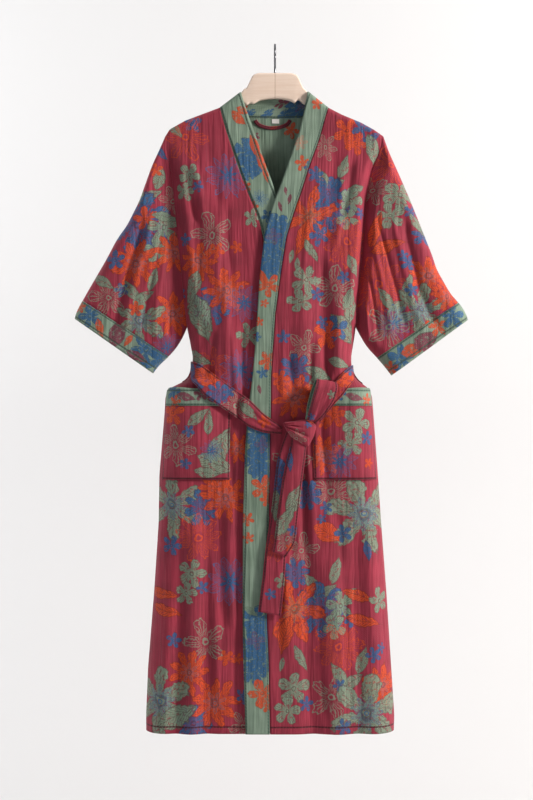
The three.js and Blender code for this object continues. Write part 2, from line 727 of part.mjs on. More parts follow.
function pocketX(pocket, t, z) {
  const fromTop = clamp((z - pocketRows[0].z + 7) / (pocketSeamZ - pocketRows[0].z + 7), 0, 1);
  const fromSeam = clamp((z - pocketSeamZ) / (pocketRows[7].z - pocketSeamZ), 0, 1);
  const outer = mix(mix(pocket.outerX[0], pocket.outerX[1], fromTop), pocket.outerX[2], fromSeam);
  const inner = mix(mix(pocket.innerX[0], pocket.innerX[1], fromTop), pocket.innerX[2], fromSeam);
  return mix(outer, inner, t);
}

function pocketWallGeometry(pocket, heights, thickness) {
  const points = heights.map((z) => pocketColumns.map((t) => {
    const x = pocketX(pocket, t, z);
    const lift = layerLift + thickness / 2 + pocketPuff(pocket, t, z);
    return new THREE.Vector3(x, outerFrontY(x, z), z).addScaledVector(outerNormal(x, z), lift);
  }));
  return wallGeometry(points, gridNormals(points), thickness);
}

for (const pocket of [leftPocket, rightPocket]) {
  const bodyHeights = [pocketSeamZ - seamGap, -720, -755, -790, -815, -826, -831];
  const bandHeights = [-659, -666, -678, pocketSeamZ];
  addPiece(`${pocket.side}_pocket`, pocketWallGeometry(pocket, bodyHeights, pocketWall), roseCloth);
  addPiece(`${pocket.side}_pocket_band`, pocketWallGeometry(pocket, bandHeights, pocketWall + 0.6), sageCloth);
}

// Outermost face with the pockets on it, taken over a small patch so that a belt lies clear of it
function beltBaseY(x, z) {
  let y = 0;
  for (const dx of [-10, -5, 0, 5, 10]) {
    for (const dz of [-7, 0, 7]) {
      const section = sectionAt(z + dz);
      const px = clamp(x + dx, section.left, section.right);
      let here = outerFrontY(px, z + dz);
      for (const pocket of [leftPocket, rightPocket]) {
        const outer = pocketX(pocket, 0, z + dz);
        const t = (px - outer) / (pocketX(pocket, 1, z + dz) - outer);
        if (t >= 0 && t <= 1 && z + dz < -650 && z + dz > -831) {
          here -= layerLift + pocketWall + 2.2 + pocketPuff(pocket, t, z + dz);
        }
      }
      y = Math.min(y, here);
    }
  }
  return y;
}

// Belt: front stretches from each side to the knot
const beltLeftLines = [
  { ax: -157.6, az: -606, bx: -157.6, bz: -645 },
  { ax: -152, az: -607, bx: -157, bz: -646.5 },
  { ax: -143, az: -611, bx: -147, bz: -652 },
  { ax: -131, az: -619, bx: -136.7, bz: -669 },
  { ax: -104.8, az: -639.4, bx: -102.5, bz: -693.1 },
  { ax: -77, az: -659, bx: -73, bz: -713 },
  { ax: -48.6, az: -678.7, bx: -51, bz: -730.2 },
  { ax: -19.2, az: -708.1, bx: -24.2, bz: -741.1 },
  { ax: 2, az: -722, bx: 0, bz: -744 },
  { ax: 13, az: -730, bx: 12, bz: -745 },
];
const beltRightLines = [
  { ax: 145.8, az: -613, bx: 149, bz: -645 },
  { ax: 141, az: -615, bx: 145, bz: -648 },
  { ax: 134, az: -621, bx: 138, bz: -656 },
  { ax: 122, az: -634, bx: 128, bz: -671 },
  { ax: 110, az: -652, bx: 113, bz: -686 },
  { ax: 98, az: -676, bx: 101, bz: -702 },
  { ax: 88, az: -696, bx: 90, bz: -716 },
  { ax: 83, az: -706, bx: 84, bz: -722 },
];

function beltFront(corners) {
  const points = [];
  const lines = [];
  corners.forEach((line, i) => {
    const next = corners[i + 1];
    lines.push(line);
    const steps = next ? Math.ceil(Math.abs(next.ax - line.ax) / 10) : 0;
    for (let k = 1; k < steps; k++) {
      const t = k / steps;
      lines.push({
        ax: mix(line.ax, next.ax, t), az: mix(line.az, next.az, t),
        bx: mix(line.bx, next.bx, t), bz: mix(line.bz, next.bz, t),
      });
    }
  });
  for (const line of lines) {
    const row = [];
    for (let j = 0; j <= 3; j++) {
      const t = j / 3;
      const z = mix(line.az, line.bz, t);
      const section = sectionAt(z);
      const x = clamp(mix(line.ax, line.bx, t), section.left, section.right);
      const edge = Math.min(x - section.left, section.right - x);
      const out = beltWall / 2 + seamGap + 0.3;
      const atSide = new THREE.Vector3(x, outerFrontY(x, z), z).addScaledVector(outerNormal(x, z), out + 1.7);
      const inFront = new THREE.Vector3(x, beltBaseY(x, z) - out, z);
      row.push(atSide.lerp(inFront, smooth(12, 40, edge)));
    }
    points.push(row);
  }
  return points;
}

const beltLeft = beltFront(beltLeftLines);
const beltRight = beltFront(beltRightLines);
addPiece('belt_left', wallGeometry(beltLeft, gridNormals(beltLeft), beltWall), roseCloth);
addPiece('belt_right', wallGeometry(beltRight, gridNormals(beltRight), beltWall), roseCloth);

// Belt behind the body, from side to side
function beltBackGrid() {
  const points = [];
  const out = panelWall / 2 + seamGap + 1.9 + beltWall / 2;
  const stations = 22;
  for (let i = 0; i <= stations; i++) {
    const share = i / stations;
    const row = [];
    for (let j = 0; j <= 3; j++) {
      const topZ = mix(-606, -616, share);
      const lowZ = mix(-645, -648, share);
      const z = mix(topZ, lowZ, j / 3);
      const section = sectionAt(z);
      const middle = (section.left + section.right) / 2;
      const half = (section.right - section.left) / 2;
      const angle = Math.PI * share;
      const x = middle - Math.cos(angle) * half;
      const spread = Math.cos(angle) * out;
      row.push(new THREE.Vector3(x - spread, Math.max(backY(x, z) + out * Math.sin(angle) ** 0.5, seamGap), z));
    }
    points.push(row);
  }
  return points;
}

const beltBack = beltBackGrid();
addPiece('belt_back', wallGeometry(beltBack, gridNormals(beltBack), beltWall), roseCloth);

// Free strips: centre, half width across and depth at each station
function stripGeometry(stations, thickness, columns = 3) {
  const points = stations.map((station) => {
    const row = [];
    for (let j = 0; j <= columns; j++) {
      const t = j / columns;
      row.push(new THREE.Vector3(
        mix(station.leftX, station.rightX, t),
        station.y,
        mix(station.leftZ, station.rightZ, t),
      ));
    }
    return row;
  });
  return wallGeometry(points, gridNormals(points), thickness);
}

function tailStations(rows, lift) {
  return rows.map((row) => {
    const ys = [row.leftX, (row.leftX + row.rightX) / 2, row.rightX].map((x) => outerFrontY(x, row.z, 6));
    return { ...row, leftZ: row.leftZ ?? row.z, rightZ: row.rightZ ?? row.z, y: Math.min(...ys) - lift };
  });
}

const rearTailRows = [
  { z: -769.3, leftX: 6, rightX: 44 },
  { z: -800, leftX: 3, rightX: 38 },
  { z: -863, leftX: -4, rightX: 34 },
  { z: -910, leftX: -10, rightX: 29 },
  { z: -963, leftX: -18.6, rightX: 21 },
  { z: -1017, leftX: -24, rightX: 18.2 },
  { z: -1078, leftX: -32, rightX: 11, leftZ: -1079, rightZ: -1086.7 },
];
const frontTailRows = [
  { z: -769.3, leftX: 28, rightX: 58 },
  { z: -800, leftX: 20, rightX: 55.5 },
  { z: -830.6, leftX: 13.4, rightX: 51.5 },
  { z: -890, leftX: 5, rightX: 44.5 },
  { z: -950, leftX: -2.5, rightX: 38 },
  { z: -970, leftX: -5.8, rightX: 21.1, leftZ: -965.8, rightZ: -975 },
];
addPiece('belt_rear_tail', stripGeometry(tailStations(rearTailRows, 1.8), beltWall), roseCloth);
addPiece('belt_front_tail', stripGeometry(tailStations(frontTailRows, 4.5), beltWall), roseCloth);

// Half-bow loop: up the front, over the top and down behind, as a sage-lined strip
const knotY = outerFrontY(45, -742, 6) - 1;
const loopRows = [
  { leftX: 60, leftZ: -716.6, rightX: 77, rightZ: -723, out: 12 },
  { leftX: 61, leftZ: -708, rightX: 92, rightZ: -710, out: 18 },
  { leftX: 68, leftZ: -682, rightX: 112, rightZ: -679, out: 23 },
  { leftX: 76, leftZ: -654, rightX: 118, rightZ: -658, out: 22 },
  { leftX: 79, leftZ: -641, rightX: 117, rightZ: -648, out: 18 },
  { leftX: 78, leftZ: -638, rightX: 115, rightZ: -645, out: 11 },
  { leftX: 74, leftZ: -644, rightX: 110, rightZ: -650, out: 6 },
  { leftX: 68, leftZ: -660, rightX: 104, rightZ: -664, out: 4.2 },
  { leftX: 60, leftZ: -690, rightX: 92, rightZ: -690, out: 4.2 },
  { leftX: 57, leftZ: -716, rightX: 74, rightZ: -721.5, out: 4.2 },
].map((row) => ({
  ...row,
  y: Math.min(...[row.leftX, (row.leftX + row.rightX) / 2, row.rightX].map((x) => beltBaseY(x, row.leftZ))) - row.out,
}));
addPiece('belt_loop', stripGeometry(loopRows, beltWall), roseCloth);

// Knot: a soft block with rounded faces
const knotOutline = [[16, -729], [36, -722], [58, -716.8], [79, -726], [75, -747], [59, -768.5], [31, -768.5],
  [17, -750]];

function knotGeometry() {
  const centre = new THREE.Vector3(47, 0, -744);
  const layers = [
    { y: 0, grow: 0.8 },
    { y: -3, grow: 0.97 },
    { y: -8, grow: 1 },
    { y: -14, grow: 0.93 },
    { y: -18, grow: 0.66 },
  ];
  const positions = [];
  const index = [];
  const count = knotOutline.length;
  for (const layer of layers) {
    for (const [x, z] of knotOutline) {
      positions.push(mix(centre.x, x, layer.grow), knotY - 1.6 + layer.y, mix(centre.z, z, layer.grow));
    }
  }
  const first = positions.length / 3;
  positions.push(centre.x, knotY - 1.6, centre.z, centre.x, knotY - 21, centre.z);
  for (let k = 0; k < count; k++) {
    const next = (k + 1) % count;
    for (let i = 0; i < layers.length - 1; i++) {
      const a = i * count + k;
      const b = i * count + next;
      index.push(a, b, b + count, a, b + count, a + count);
    }
    index.push(first, next, k, first + 1, (layers.length - 1) * count + k, (layers.length - 1) * count + next);
  }
  const geometry = new THREE.BufferGeometry();
  geometry.setAttribute('position', new THREE.Float32BufferAttribute(positions, 3));
  geometry.setIndex(index);
  return faceOutward(geometry);
}

addPiece('belt_knot', knotGeometry(), roseCloth);

// Hang loop and neck label on the inner face of the back, below the neck seam
const hangLoopRows = [
  { x: -38, z: -141 },
  { x: -35, z: -148 },
  { x: -26, z: -153 },
  { x: -12, z: -156.5 },
  { x: 3, z: -156.5 },
  { x: 17, z: -153 },
  { x: 26, z: -148 },
  { x: 29, z: -141 },
];

function hangLoopGeometry() {
  const points = hangLoopRows.map((row, i) => {
    const before = hangLoopRows[Math.max(i - 1, 0)];
    const after = hangLoopRows[Math.min(i + 1, hangLoopRows.length - 1)];
    const length = Math.hypot(after.x - before.x, after.z - before.z);
    const across = [-(after.z - before.z) / length, (after.x - before.x) / length];
    return [-2.5, 0, 2.5].map((half) => {
      const x = row.x + across[0] * half;
      const z = row.z + across[1] * half;
      return new THREE.Vector3(x, backY(x, z) - panelWall / 2 - seamGap - 0.7, z);
    });
  });
  return wallGeometry(points, gridNormals(points), 1.2);
}

addPiece('hang_loop', hangLoopGeometry(), roseCloth);

function labelGeometry() {
  const points = [-139, -147.5].map((z) => [-6, 1, 8].map((x) => (
    new THREE.Vector3(x, backY(x, z) - panelWall / 2 - seamGap - 0.4, z)
  )));
  return wallGeometry(points, gridNormals(points), 0.7);
}

addPiece('neck_label', labelGeometry(), whiteTape);

// Wooden hanger: a rounded bar whose top follows the inside of the shoulders
const hangerRows = [
  { x: -200, drop: 20 },
  { x: -190, drop: 23 },
  { x: -171.6, drop: 25 },
  { x: -138, drop: 27 },
  { x: -105.6, drop: 29 },
  { x: -84, drop: 29 },
  { x: -66, drop: 28 },
  { x: -59, drop: 29 },
  { x: -50, drop: 40 },
  { x: -42, drop: 57 },
  { x: -28, drop: 53 },
  { x: -14, drop: 50.5 },
  { x: 0, drop: 49.5 },
  { x: 14, drop: 50.5 },
  { x: 26, drop: 53 },
  { x: 38, drop: 57 },
  { x: 47, drop: 40 },
  { x: 57, drop: 29 },
  { x: 63, drop: 28 },
  { x: 82, drop: 29 },
  { x: 101.8, drop: 29 },
  { x: 132, drop: 27 },
  { x: 164.7, drop: 25 },
  { x: 184, drop: 23 },
  { x: 197, drop: 20 },
];

function hangerTop(x) {
  const reach = Math.abs(x);
  const neckTop = -52 - 3 * smooth(30, 42, reach) - 28 * smooth(40, 58, reach);
  if (reach < 58) {
    return neckTop;
  }
  return shoulderTop(x) - bandWall / 2 - 1.1;
}

function hangerGeometry() {
  const half = hangerThickness / 2;
  const positions = [];
  const index = [];
  const around = 12;
  hangerRows.forEach(({ x, drop }) => {
    const top = hangerTop(x);
    const isEnd = Math.abs(x) > 196;
    const middle = top - drop / 2;
    for (let k = 0; k < around; k++) {
      const angle = (2 * Math.PI * (k + 0.5)) / around;
      const cornerY = Math.sin(angle);
      const cornerZ = Math.cos(angle);
      const straight = drop / 2 - half;
      const shrink = isEnd ? 0.7 : 1;
      positions.push(x, cornerY * half * shrink, middle + (cornerZ * half + Math.sign(cornerZ) * straight) * shrink);
    }
  });
  const rows = hangerRows.length;
  for (let i = 0; i < rows - 1; i++) {
    for (let k = 0; k < around; k++) {
      const next = (k + 1) % around;
      const a = i * around + k;
      const b = i * around + next;
      index.push(a, b, b + around, a, b + around, a + around);
    }
  }
  for (let k = 1; k < around - 1; k++) {
    index.push(0, k + 1, k);
    const last = (rows - 1) * around;
    index.push(last, last + k, last + k + 1);
  }
  const geometry = new THREE.BufferGeometry();
  geometry.setAttribute('position', new THREE.Float32BufferAttribute(positions, 3));
  geometry.setIndex(index);
  return faceOutward(geometry);
}

addPiece('hanger', hangerGeometry(), paleWood);

// Hook: round wire in the plane X = 0, straight up from the hanger, then round to the front
function hookGeometry() {
  const radius = hookInnerRadius + hookWire / 2;
  const points = [
    new THREE.Vector3(0, 0, -51.7),
    new THREE.Vector3(0, 0, -46),
    new THREE.Vector3(0, 1.2, -41),
    new THREE.Vector3(0, 5.4, -35.2),
  ];
  for (let angle = -50; angle <= 205; angle += 15) {
    const a = (angle * Math.PI) / 180;
    points.push(new THREE.Vector3(0, radius * Math.cos(a), -hookInnerRadius + radius * Math.sin(a)));
  }
  const path = new THREE.CatmullRomCurve3(points);
  const section = new THREE.Shape();
  for (let k = 0; k < 8; k++) {
    const a = (2 * Math.PI * (k + 0.5)) / 8;
    const r = hookWire / 2 / Math.cos(Math.PI / 8);
    if (k === 0) {
      section.moveTo(r * Math.cos(a), r * Math.sin(a));
    } else {
      section.lineTo(r * Math.cos(a), r * Math.sin(a));
    }
  }
  section.closePath();
  return new THREE.ExtrudeGeometry(section, { steps: 40, extrudePath: path, bevelEnabled: false });
}

addPiece('hook', hookGeometry(), greySteel);

export default robe;
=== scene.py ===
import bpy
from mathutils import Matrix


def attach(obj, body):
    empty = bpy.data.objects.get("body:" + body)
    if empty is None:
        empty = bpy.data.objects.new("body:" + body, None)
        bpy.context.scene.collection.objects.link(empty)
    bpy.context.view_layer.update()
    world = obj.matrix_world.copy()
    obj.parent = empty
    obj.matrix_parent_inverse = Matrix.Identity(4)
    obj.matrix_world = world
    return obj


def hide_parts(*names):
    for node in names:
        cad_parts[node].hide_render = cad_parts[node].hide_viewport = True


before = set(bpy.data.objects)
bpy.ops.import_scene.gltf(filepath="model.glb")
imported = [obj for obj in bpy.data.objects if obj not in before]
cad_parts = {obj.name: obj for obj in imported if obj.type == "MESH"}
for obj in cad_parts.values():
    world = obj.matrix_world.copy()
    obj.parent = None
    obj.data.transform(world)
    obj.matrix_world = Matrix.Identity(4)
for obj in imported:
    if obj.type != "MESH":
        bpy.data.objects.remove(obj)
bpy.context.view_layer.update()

import ast
import math
import bmesh
import bpy
import numpy as np
from mathutils import Vector

print("1/7 frame loaded")

# Cloth form, in millimetres from the top of the hook's inner side

robe = {
    "panelWall": 1.6, "bandWall": 2.4, "beltWall": 2.0, "pocketWall": 1.4, "cuffWall": 2.0,
    "pocketBandWall": 2.0, "hangLoopWall": 1.5, "labelWall": 0.7,
    "seamGap": 0.3, "bandSeamGap": 0.5, "armholeGap": 0.2, "cuffSeamShare": 0.0006,
    "shoulderZ": -174, "underarmZ": -538, "hemZ": -1311, "neckLeft": -105.6, "neckRight": 101.8,
    "collarDepth": 10.5, "shoulderRound": 9, "armholePinch": 8, "overlapStep": 5.4, "meshStep": 4.2,
}

bodySections = np.array([  # z, left edge, right edge, depth to the front, depth to the back
    (-174, -209.9, 207.4, 10, 10), (-200, -208.5, 201, 15, 13), (-240, -199, 184, 21, 17),
    (-290, -194, 175, 25, 21), (-350, -188.2, 171, 28, 24), (-400, -183, 167, 30, 26),
    (-460, -177, 161.5, 32, 28), (-505, -172, 157, 33, 29), (-538, -168.5, 154.5, 34, 30),
    (-564, -163.2, 151, 34, 30), (-596, -157, 145.5, 34, 30), (-626, -158.5, 146.5, 34, 30),
    (-643, -168, 157, 36, 32), (-656, -201, 178, 39, 35), (-672, -209.5, 185.5, 41, 36),
    (-706, -211.4, 188.2, 42, 37), (-823, -221.2, 196.8, 43, 38), (-916, -222.7, 203.1, 44, 39),
    (-1048, -231.4, 213.1, 46, 41), (-1195, -243.1, 222.6, 49, 43), (-1283, -246.7, 228.3, 51, 45),
    (-1320, -246.4, 227, 52, 46)], float)[::-1]
shoulderLine = np.array([
    (-214, -182), (-209.9, -174), (-201.6, -160.7), (-171.6, -144), (-105.6, -119), (-65.9, -89), (0, 0),
    (63, -88), (101.8, -119), (127.9, -132.5), (164.7, -147.8), (189.1, -161.3), (207.4, -174),
    (212, -182)], float)
backNeckSeam = np.array([
    (-105.6, -119), (-104.8, -121), (-103.2, -124.5), (-99, -128.5), (-80, -133), (-50, -136), (0, -137),
    (48, -136), (78, -133), (95.4, -128.5), (99.5, -124.5), (101, -121), (101.8, -119)], float)
rightBandRows = np.array([  # seam x, seam z, free edge x, free edge z
    (101.8, -119, 63, -88), (97, -134, 59, -107), (84.5, -180, 48, -161), (63.4, -238, 28, -220),
    (48, -287, 10, -271), (36, -321, -4, -307), (20.7, -372, -20, -365), (9.6, -445, -29.2, -442),
    (0, -518, -34, -517), (-4, -578, -38, -578), (-7.7, -637, -43, -637), (-8, -705, -52, -705),
    (-9.6, -776, -57, -776), (-11.5, -910, -61, -910), (-15.4, -1100, -61, -1100),
    (-12.3, -1166, -60.3, -1166), (-9.6, -1311, -55.7, -1311)], float)
leftBandRows = np.array([
    (-105.6, -119, -65.9, -89), (-101.5, -135, -60, -108), (-95, -159, -52, -132),
    (-80.6, -203.5, -35, -180), (-65.9, -247.7, -20, -225), (-51, -285.7, -5, -265),
    (-30.7, -335.6, 12, -322), (-19, -385, 25, -378), (-12, -445, 34.6, -442), (-7, -518, 40, -517),
    (-3, -578, 43, -578), (-1, -640, 45, -640), (0, -776, 47, -776), (4, -1100, 51, -1100),
    (2, -1311, 49, -1311)], float)

# Folds and creases: height (+ stands out), half width, top x and z, end x and z.
frontFolds = [
    (-6, 15, 92, -400, 92, -660), (4, 13, 50, -420, 52, -650), (4, 12, 118, -440, 112, -640),
    (-6, 15, -152, -280, -148, -480), (-6, 14, -135, -520, -134, -650), (5, 14, -100, -440, -86, -640),
    (-7, 17, 48, -740, 70, -1330), (6, 20, 100, -950, 121, -1330), (-6, 17, 152, -880, 158, -1330),
    (-6, 18, -178, -880, -190, -1330), (5, 18, -150, -860, -158, -1330), (-6, 18, -132, -820, -126, -1330)]
backFolds = [
    (-7, 22, -95, -360, -80, -640), (6, 24, -8, -330, -5, -640), (-7, 22, 78, -360, 66, -640),
    (6, 22, -152, -740, -176, -1330), (-8, 22, -100, -690, -120, -1330), (7, 24, -45, -690, -55, -1330),
    (-8, 22, 12, -690, 12, -1330), (7, 24, 66, -690, 78, -1330), (-7, 22, 124, -720, 146, -1330)]
frontCreases = [  # finer ones, uneven in length, depth and spacing
    (-3.4, 7, 72, -560, 66, -700), (3.2, 7, 84, -540, 80, -700), (-3.4, 5, 104, -540, 98, -690),
    (3.0, 6, 128, -500, 122, -640), (-2.6, 6, 30, -580, 28, -720), (2.2, 6, 14, -520, 20, -700),
    (-3.2, 6, -60, -520, -62, -690), (3.2, 7, -78, -540, -74, -690), (-3.0, 6, -118, -540, -120, -650),
    (2.8, 5, -146, -520, -146, -640), (-4.4, 8, 150, -210, 124, -345), (3.4, 7, 136, -240, 112, -400),
    (-3.6, 7, -174, -230, -148, -350), (3.0, 7, -158, -215, -134, -340), (-2.4, 9, -122, -180, -110, -320),
    (-2.4, 8, 118, -170, 104, -300), (2.2, 8, 132, -160, 142, -240), (-3.2, 6, 96, -330, 93, -470),
    (2.8, 6, 64, -300, 60, -440), (-2.6, 6, -92, -300, -84, -450), (2.6, 7, -112, -330, -104, -480),
    (-3.8, 7, 26, -740, 34, -980), (3.2, 7, 62, -770, 74, -980), (-3.8, 8, 92, -700, 98, -900),
    (3.0, 7, 40, -800, 52, -1060), (-3.4, 8, 118, -860, 134, -1130), (3.0, 8, 14, -900, 30, -1180),
    (-2.8, 7, 8, -980, 12, -1270), (3.2, 9, 178, -870, 194, -1200), (-3.4, 8, 200, -960, 212, -1300),
    (-3.8, 8, -104, -850, -98, -1150), (3.4, 8, -86, -840, -78, -1130), (-3.0, 8, -206, -890, -224, -1220),
    (3.0, 7, -116, -940, -112, -1260), (-2.6, 7, -70, -990, -74, -1280), (2.8, 8, -194, -1000, -212, -1300),
    (-2.6, 6, 84, -1040, 94, -1300), (2.6, 6, 142, -1000, 150, -1290), (-2.8, 6, -90, -720, -84, -850),
    (-2.2, 6, -176, -1060, -182, -1300), (2.4, 7, -150, -1120, -148, -1310), (-2.4, 6, 60, -1130, 64, -1310)]
backCreases = [
    (-2.4, 7, -60, -540, -56, -690), (2.0, 7, -36, -560, -34, -690), (-2.2, 7, 34, -540, 30, -690),
    (1.9, 7, 54, -560, 50, -690), (-2.2, 8, 106, -520, 98, -660), (-2.0, 8, -126, -520, -118, -660),
    (2.0, 8, -108, -560, -100, -670), (-1.8, 9, -150, -240, -120, -380), (-1.8, 9, 140, -240, 112, -380),
    (1.6, 9, -132, -210, -100, -340), (1.6, 9, 122, -210, 92, -340), (-1.6, 10, -40, -180, -30, -330),
    (1.5, 10, 30, -190, 26, -340), (-2.0, 8, -80, -700, -86, -960), (1.8, 8, -20, -720, -22, -1000),
    (-1.8, 8, 40, -700, 46, -980), (1.8, 8, 100, -700, 112, -960), (-2.0, 8, 160, -820, 178, -1200),
    (1.7, 8, -190, -860, -208, -1260), (-1.6, 7, -150, -1000, -152, -1290), (1.5, 7, 30, -1000, 34, -1290)]


def smooth(low, high, value):
    t = np.clip((np.asarray(value, float) - low) / (high - low), 0, 1)
    return t * t * (3 - 2 * t)


def mix(a, b, t):
    return a + (b - a) * t


def softened(read, at, step):  # a table read at three places, so that its corners don't show
    return 0.25 * read(at - step) + 0.5 * read(at) + 0.25 * read(at + step)


def section(z, column, soft=6):
    z = np.clip(np.asarray(z, float), bodySections[0, 0], robe["shoulderZ"])
    return softened(lambda at: np.interp(at, bodySections[:, 0], bodySections[:, column]), z, soft)


def shoulderTop(x):
    return np.interp(x, shoulderLine[:, 0], shoulderLine[:, 1])


def foldSum(folds, x, z):
    total = np.zeros(np.broadcast(x, z).shape)
    for height, width, topX, topZ, endX, endZ in folds:
        t = (z - topZ) / (endZ - topZ)
        centre = mix(topX, endX, np.clip(t, 0, 1)) + 2.5 * np.sin(t * 5 + topX)
        fade = smooth(0, 0.22, t) * (1 if endZ < robe["hemZ"] else 1 - smooth(0.82, 1, t))
        total = total + height * fade * np.exp(-((x - centre) / width) ** 2)
    return total


def sideRound(z, sign):
    valley = 26 if sign < 0 else 15
    under = robe["underarmZ"]
    return mix(valley, np.minimum(section(z, 3) * 1.05, 46), smooth(under + 70, under, z))


def depthShare(x, z, full):
    left, right, under = section(z, 1), section(z, 2), robe["underarmZ"]
    isLeft = x < (left + right) / 2
    inside = np.where(isLeft, x - left, right - x)
    t = np.clip(inside / np.where(isLeft, sideRound(z, -1), sideRound(z, 1)), 0, 1)
    rounded = np.sqrt(1 - (1 - t) ** 2)
    waved = (1 - np.cos(np.pi * t)) / 2
    closing = smooth(under + 60, under + 2, z)
    above = np.clip((z - under) / 12, 0, 1)
    pinch = robe["armholePinch"] / full * np.sqrt(1 - (1 - above) ** 2)
    side = mix(pinch, 1, mix(waved, rounded, closing * (t > 0)))
    s = np.clip((shoulderTop(x) - z) / robe["shoulderRound"], 0, 1)
    return side * np.sqrt(1 - (1 - s) ** 2)


def frontY(x, z, layer):
    x, z = np.asarray(x, float), np.asarray(z, float)
    depth = mix(robe["collarDepth"], section(z, 3), smooth(-120, -200, z))
    crossed = smooth(-170, -250, z) * robe["overlapStep"] * 0.5
    step = crossed * (1 - smooth(58, 112, x)) if layer == "over" else -crossed * smooth(-125, -72, x)
    full = depth + step + foldSum(frontFolds, x, z) + foldSum(frontCreases, x, z) * smooth(-150, -230, z)
    return -np.maximum(robe["seamGap"] / 2, full * depthShare(x, z, full))


def backY(x, z):
    x, z = np.asarray(x, float), np.asarray(z, float)
    full = mix(robe["collarDepth"], section(z, 4), smooth(-120, -220, z)) + foldSum(backFolds, x, z)
    full = full + foldSum(backCreases, x, z) * smooth(-150, -230, z)
    return np.maximum(robe["seamGap"] / 2, full * depthShare(x, z, full))


def bandEdge(rows, z, column):
    return np.interp(z, rows[::-1, column + 1], rows[::-1, column])


def rowLevels():
    top = robe["shoulderZ"] - np.array([0, 0.5, 1.4, 2.8, 4.6, 6.6, 9.0])
    rest = np.linspace(-186, robe["hemZ"], int((robe["hemZ"] + 186) / -robe["meshStep"]))
    return np.concatenate([top, rest])


def rowZ(level, x, topLine):
    left, right = section(level, 1), section(level, 2)
    across = np.clip((x - left) / (right - left), 0, 1)
    sideTop = mix(topLine(left), topLine(right), across)
    below = robe["shoulderZ"] - level
    # The first row lies right on the shoulder line
    sideTop = mix(robe["shoulderZ"], sideTop, smooth(0, 6, below))
    return level + (topLine(x) - sideTop) * (1 - smooth(0, 390, below))


def backTop(x):
    x = np.asarray(x, float)
    neck = np.interp(x, backNeckSeam[:, 0], backNeckSeam[:, 1]) - robe["seamGap"] / 2
    return np.where((x > robe["neckLeft"]) & (x < robe["neckRight"]), neck, shoulderTop(x))


def sideColumns(edge, sign, width):  # x along the rounded side, from the seam inward
    angles = np.radians(np.arange(0, 91, 9))
    return edge - sign * width * (1 - np.cos(angles))


def frontGrid(sign, bandRows, layer):
    grid = []
    for level in rowLevels():
        edge = float(section(level, 1 if sign < 0 else 2))
        xs = sideColumns(edge, sign, float(sideRound(level, sign)))
        seamZ = level
        for _ in range(8):
            seamX = float(bandEdge(bandRows, seamZ, 0)) + sign * robe["bandSeamGap"]
            seamZ = float(rowZ(level, seamX, shoulderTop))
        xs = np.concatenate([xs, np.linspace(xs[-1], seamX, 48)[1:]])
        zs = np.maximum(rowZ(level, xs, shoulderTop), robe["hemZ"])
        grid.append(np.stack([xs, frontY(xs, zs, layer), zs], 1))
    return np.array(grid)


def backGrid():
    grid = []
    ends = np.array([0, 0.0039, 0.0078, 0.0116, 0.02, 0.0318, 0.05, 0.08])
    evenShare = np.linspace(0, 1, 60)
    neckShare = np.concatenate([ends, np.linspace(0.1, 0.9, 44), 1 - ends[::-1]])
    for level in rowLevels():
        left, right = float(section(level, 1)), float(section(level, 2))
        fade = float(smooth(0, 420, robe["shoulderZ"] - level))
        neckLeft = mix(robe["neckLeft"], mix(left, right, 0.27), fade)
        neckRight = mix(robe["neckRight"], mix(left, right, 0.73), fade)
        leftSide = sideColumns(left, -1, float(sideRound(level, -1)))
        rightSide = sideColumns(right, 1, float(sideRound(level, 1)))[::-1]
        middle = mix(neckLeft, neckRight, mix(neckShare, evenShare, fade))
        xs = np.concatenate([leftSide, np.linspace(leftSide[-1], neckLeft, 14)[1:-1], middle,
                             np.linspace(neckRight, rightSide[0], 14)[1:-1], rightSide])
        zs = np.maximum(rowZ(level, xs, backTop), robe["hemZ"])
        grid.append(np.stack([xs, backY(xs, zs), zs], 1))
    return np.array(grid)


def bandGrid(rows, layer, columns=13):
    sign = -1 if rows[0, 0] < 0 else 1
    along = pathLength(rows)
    evenStops = np.arange(11, along[-1], robe["meshStep"])
    stops = np.concatenate([[0, 0.6, 1.5, 3, 5, 7.5], evenStops, [along[-1]]])
    table = softTable(stops, along, rows, 9)
    t = np.linspace(0, 1, columns)[None, :]
    x = mix(table[:, :1] - sign * robe["bandSeamGap"], table[:, 2:3], t)
    z = np.maximum(mix(table[:, 1:2], table[:, 3:4], t), robe["hemZ"])
    z[0] = shoulderTop(x[0])
    return np.stack([x, frontY(x, z, layer), z], 2)


def softInterp(at, keys, values, soft):
    inner = np.clip(np.minimum(at - keys[0], keys[-1] - at) / soft, 0, 1) * soft
    return softened(lambda a: np.interp(a, keys, values), at, inner)


def softTable(stops, along, rows, soft):
    return np.stack([softInterp(stops, along, column, soft) for column in rows.T], 1)


def pathLength(rows):  # distance along the first two columns
    return np.concatenate([[0], np.cumsum(np.hypot(np.diff(rows[:, 0]), np.diff(rows[:, 1])))])


def betweenEdges(table, t):  # x and z at shares t between two edges in one table
    return mix(table[:, :1], table[:, 2:3], t), mix(table[:, 1:2], table[:, 3:4], t)


neckBandRows = np.array([  # seam x, seam z, top x, top z
    (-105.6, -119, -65.9, -89), (-104.8, -121, -65.2, -89.8), (-103.2, -124.5, -63.6, -91),
    (-99, -128.5, -60, -91), (-80, -133, -50, -88), (-50, -136, -33, -87), (-25, -136.5, -17, -86.5),
    (0, -137, 0, -86), (24, -136.5, 16, -86.5), (48, -136, 31, -87), (78, -133, 48, -88),
    (95.4, -128.5, 57.5, -91), (99.5, -124.5, 60.8, -91), (101, -121, 62.3, -89.8), (101.8, -119, 63, -88)],
    float)


